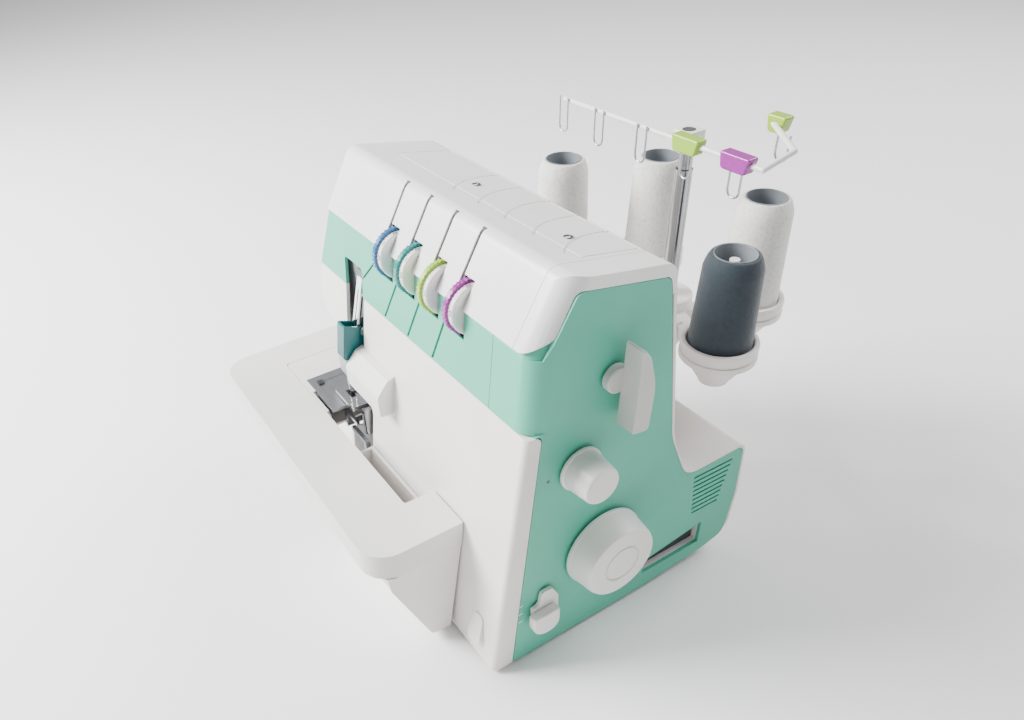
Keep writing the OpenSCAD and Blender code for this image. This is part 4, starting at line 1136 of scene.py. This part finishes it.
@dataclass
class Studio:
    """Floor, soft lights and camera."""

    shop: Workshop
    azimuth: float = 60.48
    elevation: float = 39.98
    roll: float = -4.16
    spot: Point = (398.3, -285.0, 485.0)
    focal: float = 781.57  # in pixels of the frame
    centre: Flat = (457.0, 444.63)  # where the lens axis meets the frame
    frame: Flat = (1024.0, 720.0)
    film: float = 36.0
    sky: float = 0.5

    def floor(self) -> None:
        """A pale floor."""
        self.shop.clear()
        bpy.ops.mesh.primitive_plane_add(size=8.0, location=(0, 0, -0.0004))
        ground = bpy.context.object
        ground.name = "studio_floor"
        self.shop.settle()
        pale = Finish("studio floor", (0.97, 0.97, 0.97), 0.75)
        ground.data.materials.append(self.shop.finish(pale))

    def lamp(self, name: str, spot: Point, aim: Point, size: float, power: float) -> None:
        """A square soft light at a spot in metres, turned to a point."""
        data = bpy.data.lights.new(name, "AREA")
        data.energy = power
        data.size = size
        lamp = bpy.data.objects.new(name, data)
        bpy.context.scene.collection.objects.link(lamp)
        lamp.location = spot
        way = Vector(aim) - Vector(spot)
        lamp.rotation_euler = way.to_track_quat("-Z", "Y").to_euler()

    def camera(self) -> None:
        """The camera, to the front right of the machine and above it."""
        az, el, roll = (math.radians(v) for v in (self.azimuth, self.elevation, self.roll))
        back = Vector((math.sin(az) * math.cos(el), -math.cos(az) * math.cos(el), math.sin(el)))
        right = (-back).cross(Vector((0, 0, 1))).normalized()
        up = right.cross(-back)
        side = math.cos(roll) * right + math.sin(roll) * up
        top = -math.sin(roll) * right + math.cos(roll) * up
        wide, high = self.frame
        data = bpy.data.cameras.new("camera")
        data.lens = self.focal * self.film / wide
        data.sensor_width = self.film
        data.shift_x = (wide / 2 - self.centre[0]) / wide
        data.shift_y = (self.centre[1] - high / 2) / wide
        eye = bpy.data.objects.new("camera", data)
        bpy.context.scene.collection.objects.link(eye)
        turn = Matrix((side, top, back)).transposed().to_4x4()
        eye.matrix_world = Matrix.Translation(place(self.spot)) @ turn
        bpy.context.scene.camera = eye

    def build(self) -> None:
        """Sets the stage."""
        self.floor()
        world = bpy.data.worlds.new("studio")
        world.use_nodes = True
        glow = world.node_tree.nodes["Background"].inputs
        glow["Color"].default_value = (1, 1, 1, 1)
        glow["Strength"].default_value = self.sky
        bpy.context.scene.world = world
        self.lamp("key", (-0.95, -1.25, 1.2), (0, 0, 0.15), 1.0, 125.0)
        self.lamp("rear", (0.15, 1.5, 1.5), (0, 0, 0.2), 1.2, 34.0)
        self.camera()


def dials(shop: Workshop) -> list[TensionDial]:
    """The four tension dials, from left to right."""
    tones = ((BLUE, "blue"), (TEAL, "teal"), (LIME, "lime"), (MAGENTA, "magenta"))
    return [TensionDial(shop, n, tone, f"dial_{name}", f"tension_{n + 1}", name)
            for n, (tone, name) in enumerate(tones)]


def cones(shop: Workshop) -> list[ThreadCone]:
    """The three white cones and the shorter grey one, each on its pad."""
    white = (88.0, WHITE_THREAD, "white_thread")
    rows = (("spool_1", *white), ("spool_2", *white), ("spool_3", *white),
            ("spool_grey", 76.0, SLATE_THREAD, "slate_thread"))
    return [ThreadCone(shop, node, f"cone_{n + 1}", CONE_SPOTS[n], *rest)
            for n, (node, *rest) in enumerate(rows)]


def main() -> None:
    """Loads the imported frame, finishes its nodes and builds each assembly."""
    logging.basicConfig(level=logging.INFO, format="%(message)s")
    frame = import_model()
    shop = Workshop(frame)
    for entry in frame["record"]["subparts"]:
        obj = frame["nodes"][entry["node"]]
        kind = FINISH_OF_SLOT[entry["material_slot"]]
        for slot in obj.material_slots:
            slot.material = shop.finish(kind)
    assemblies = [Studio(shop), Housing(shop), FrontDoor(shop), *dials(shop), Controls(shop),
                  SewingHead(shop), ExtensionTable(shop), ThreadStand(shop), *cones(shop),
                  Drive(shop)]
    for assembly in assemblies:
        assembly.build()
    LOG.info("%d pieces made", shop.count)


if __name__ == "__main__":
    main()
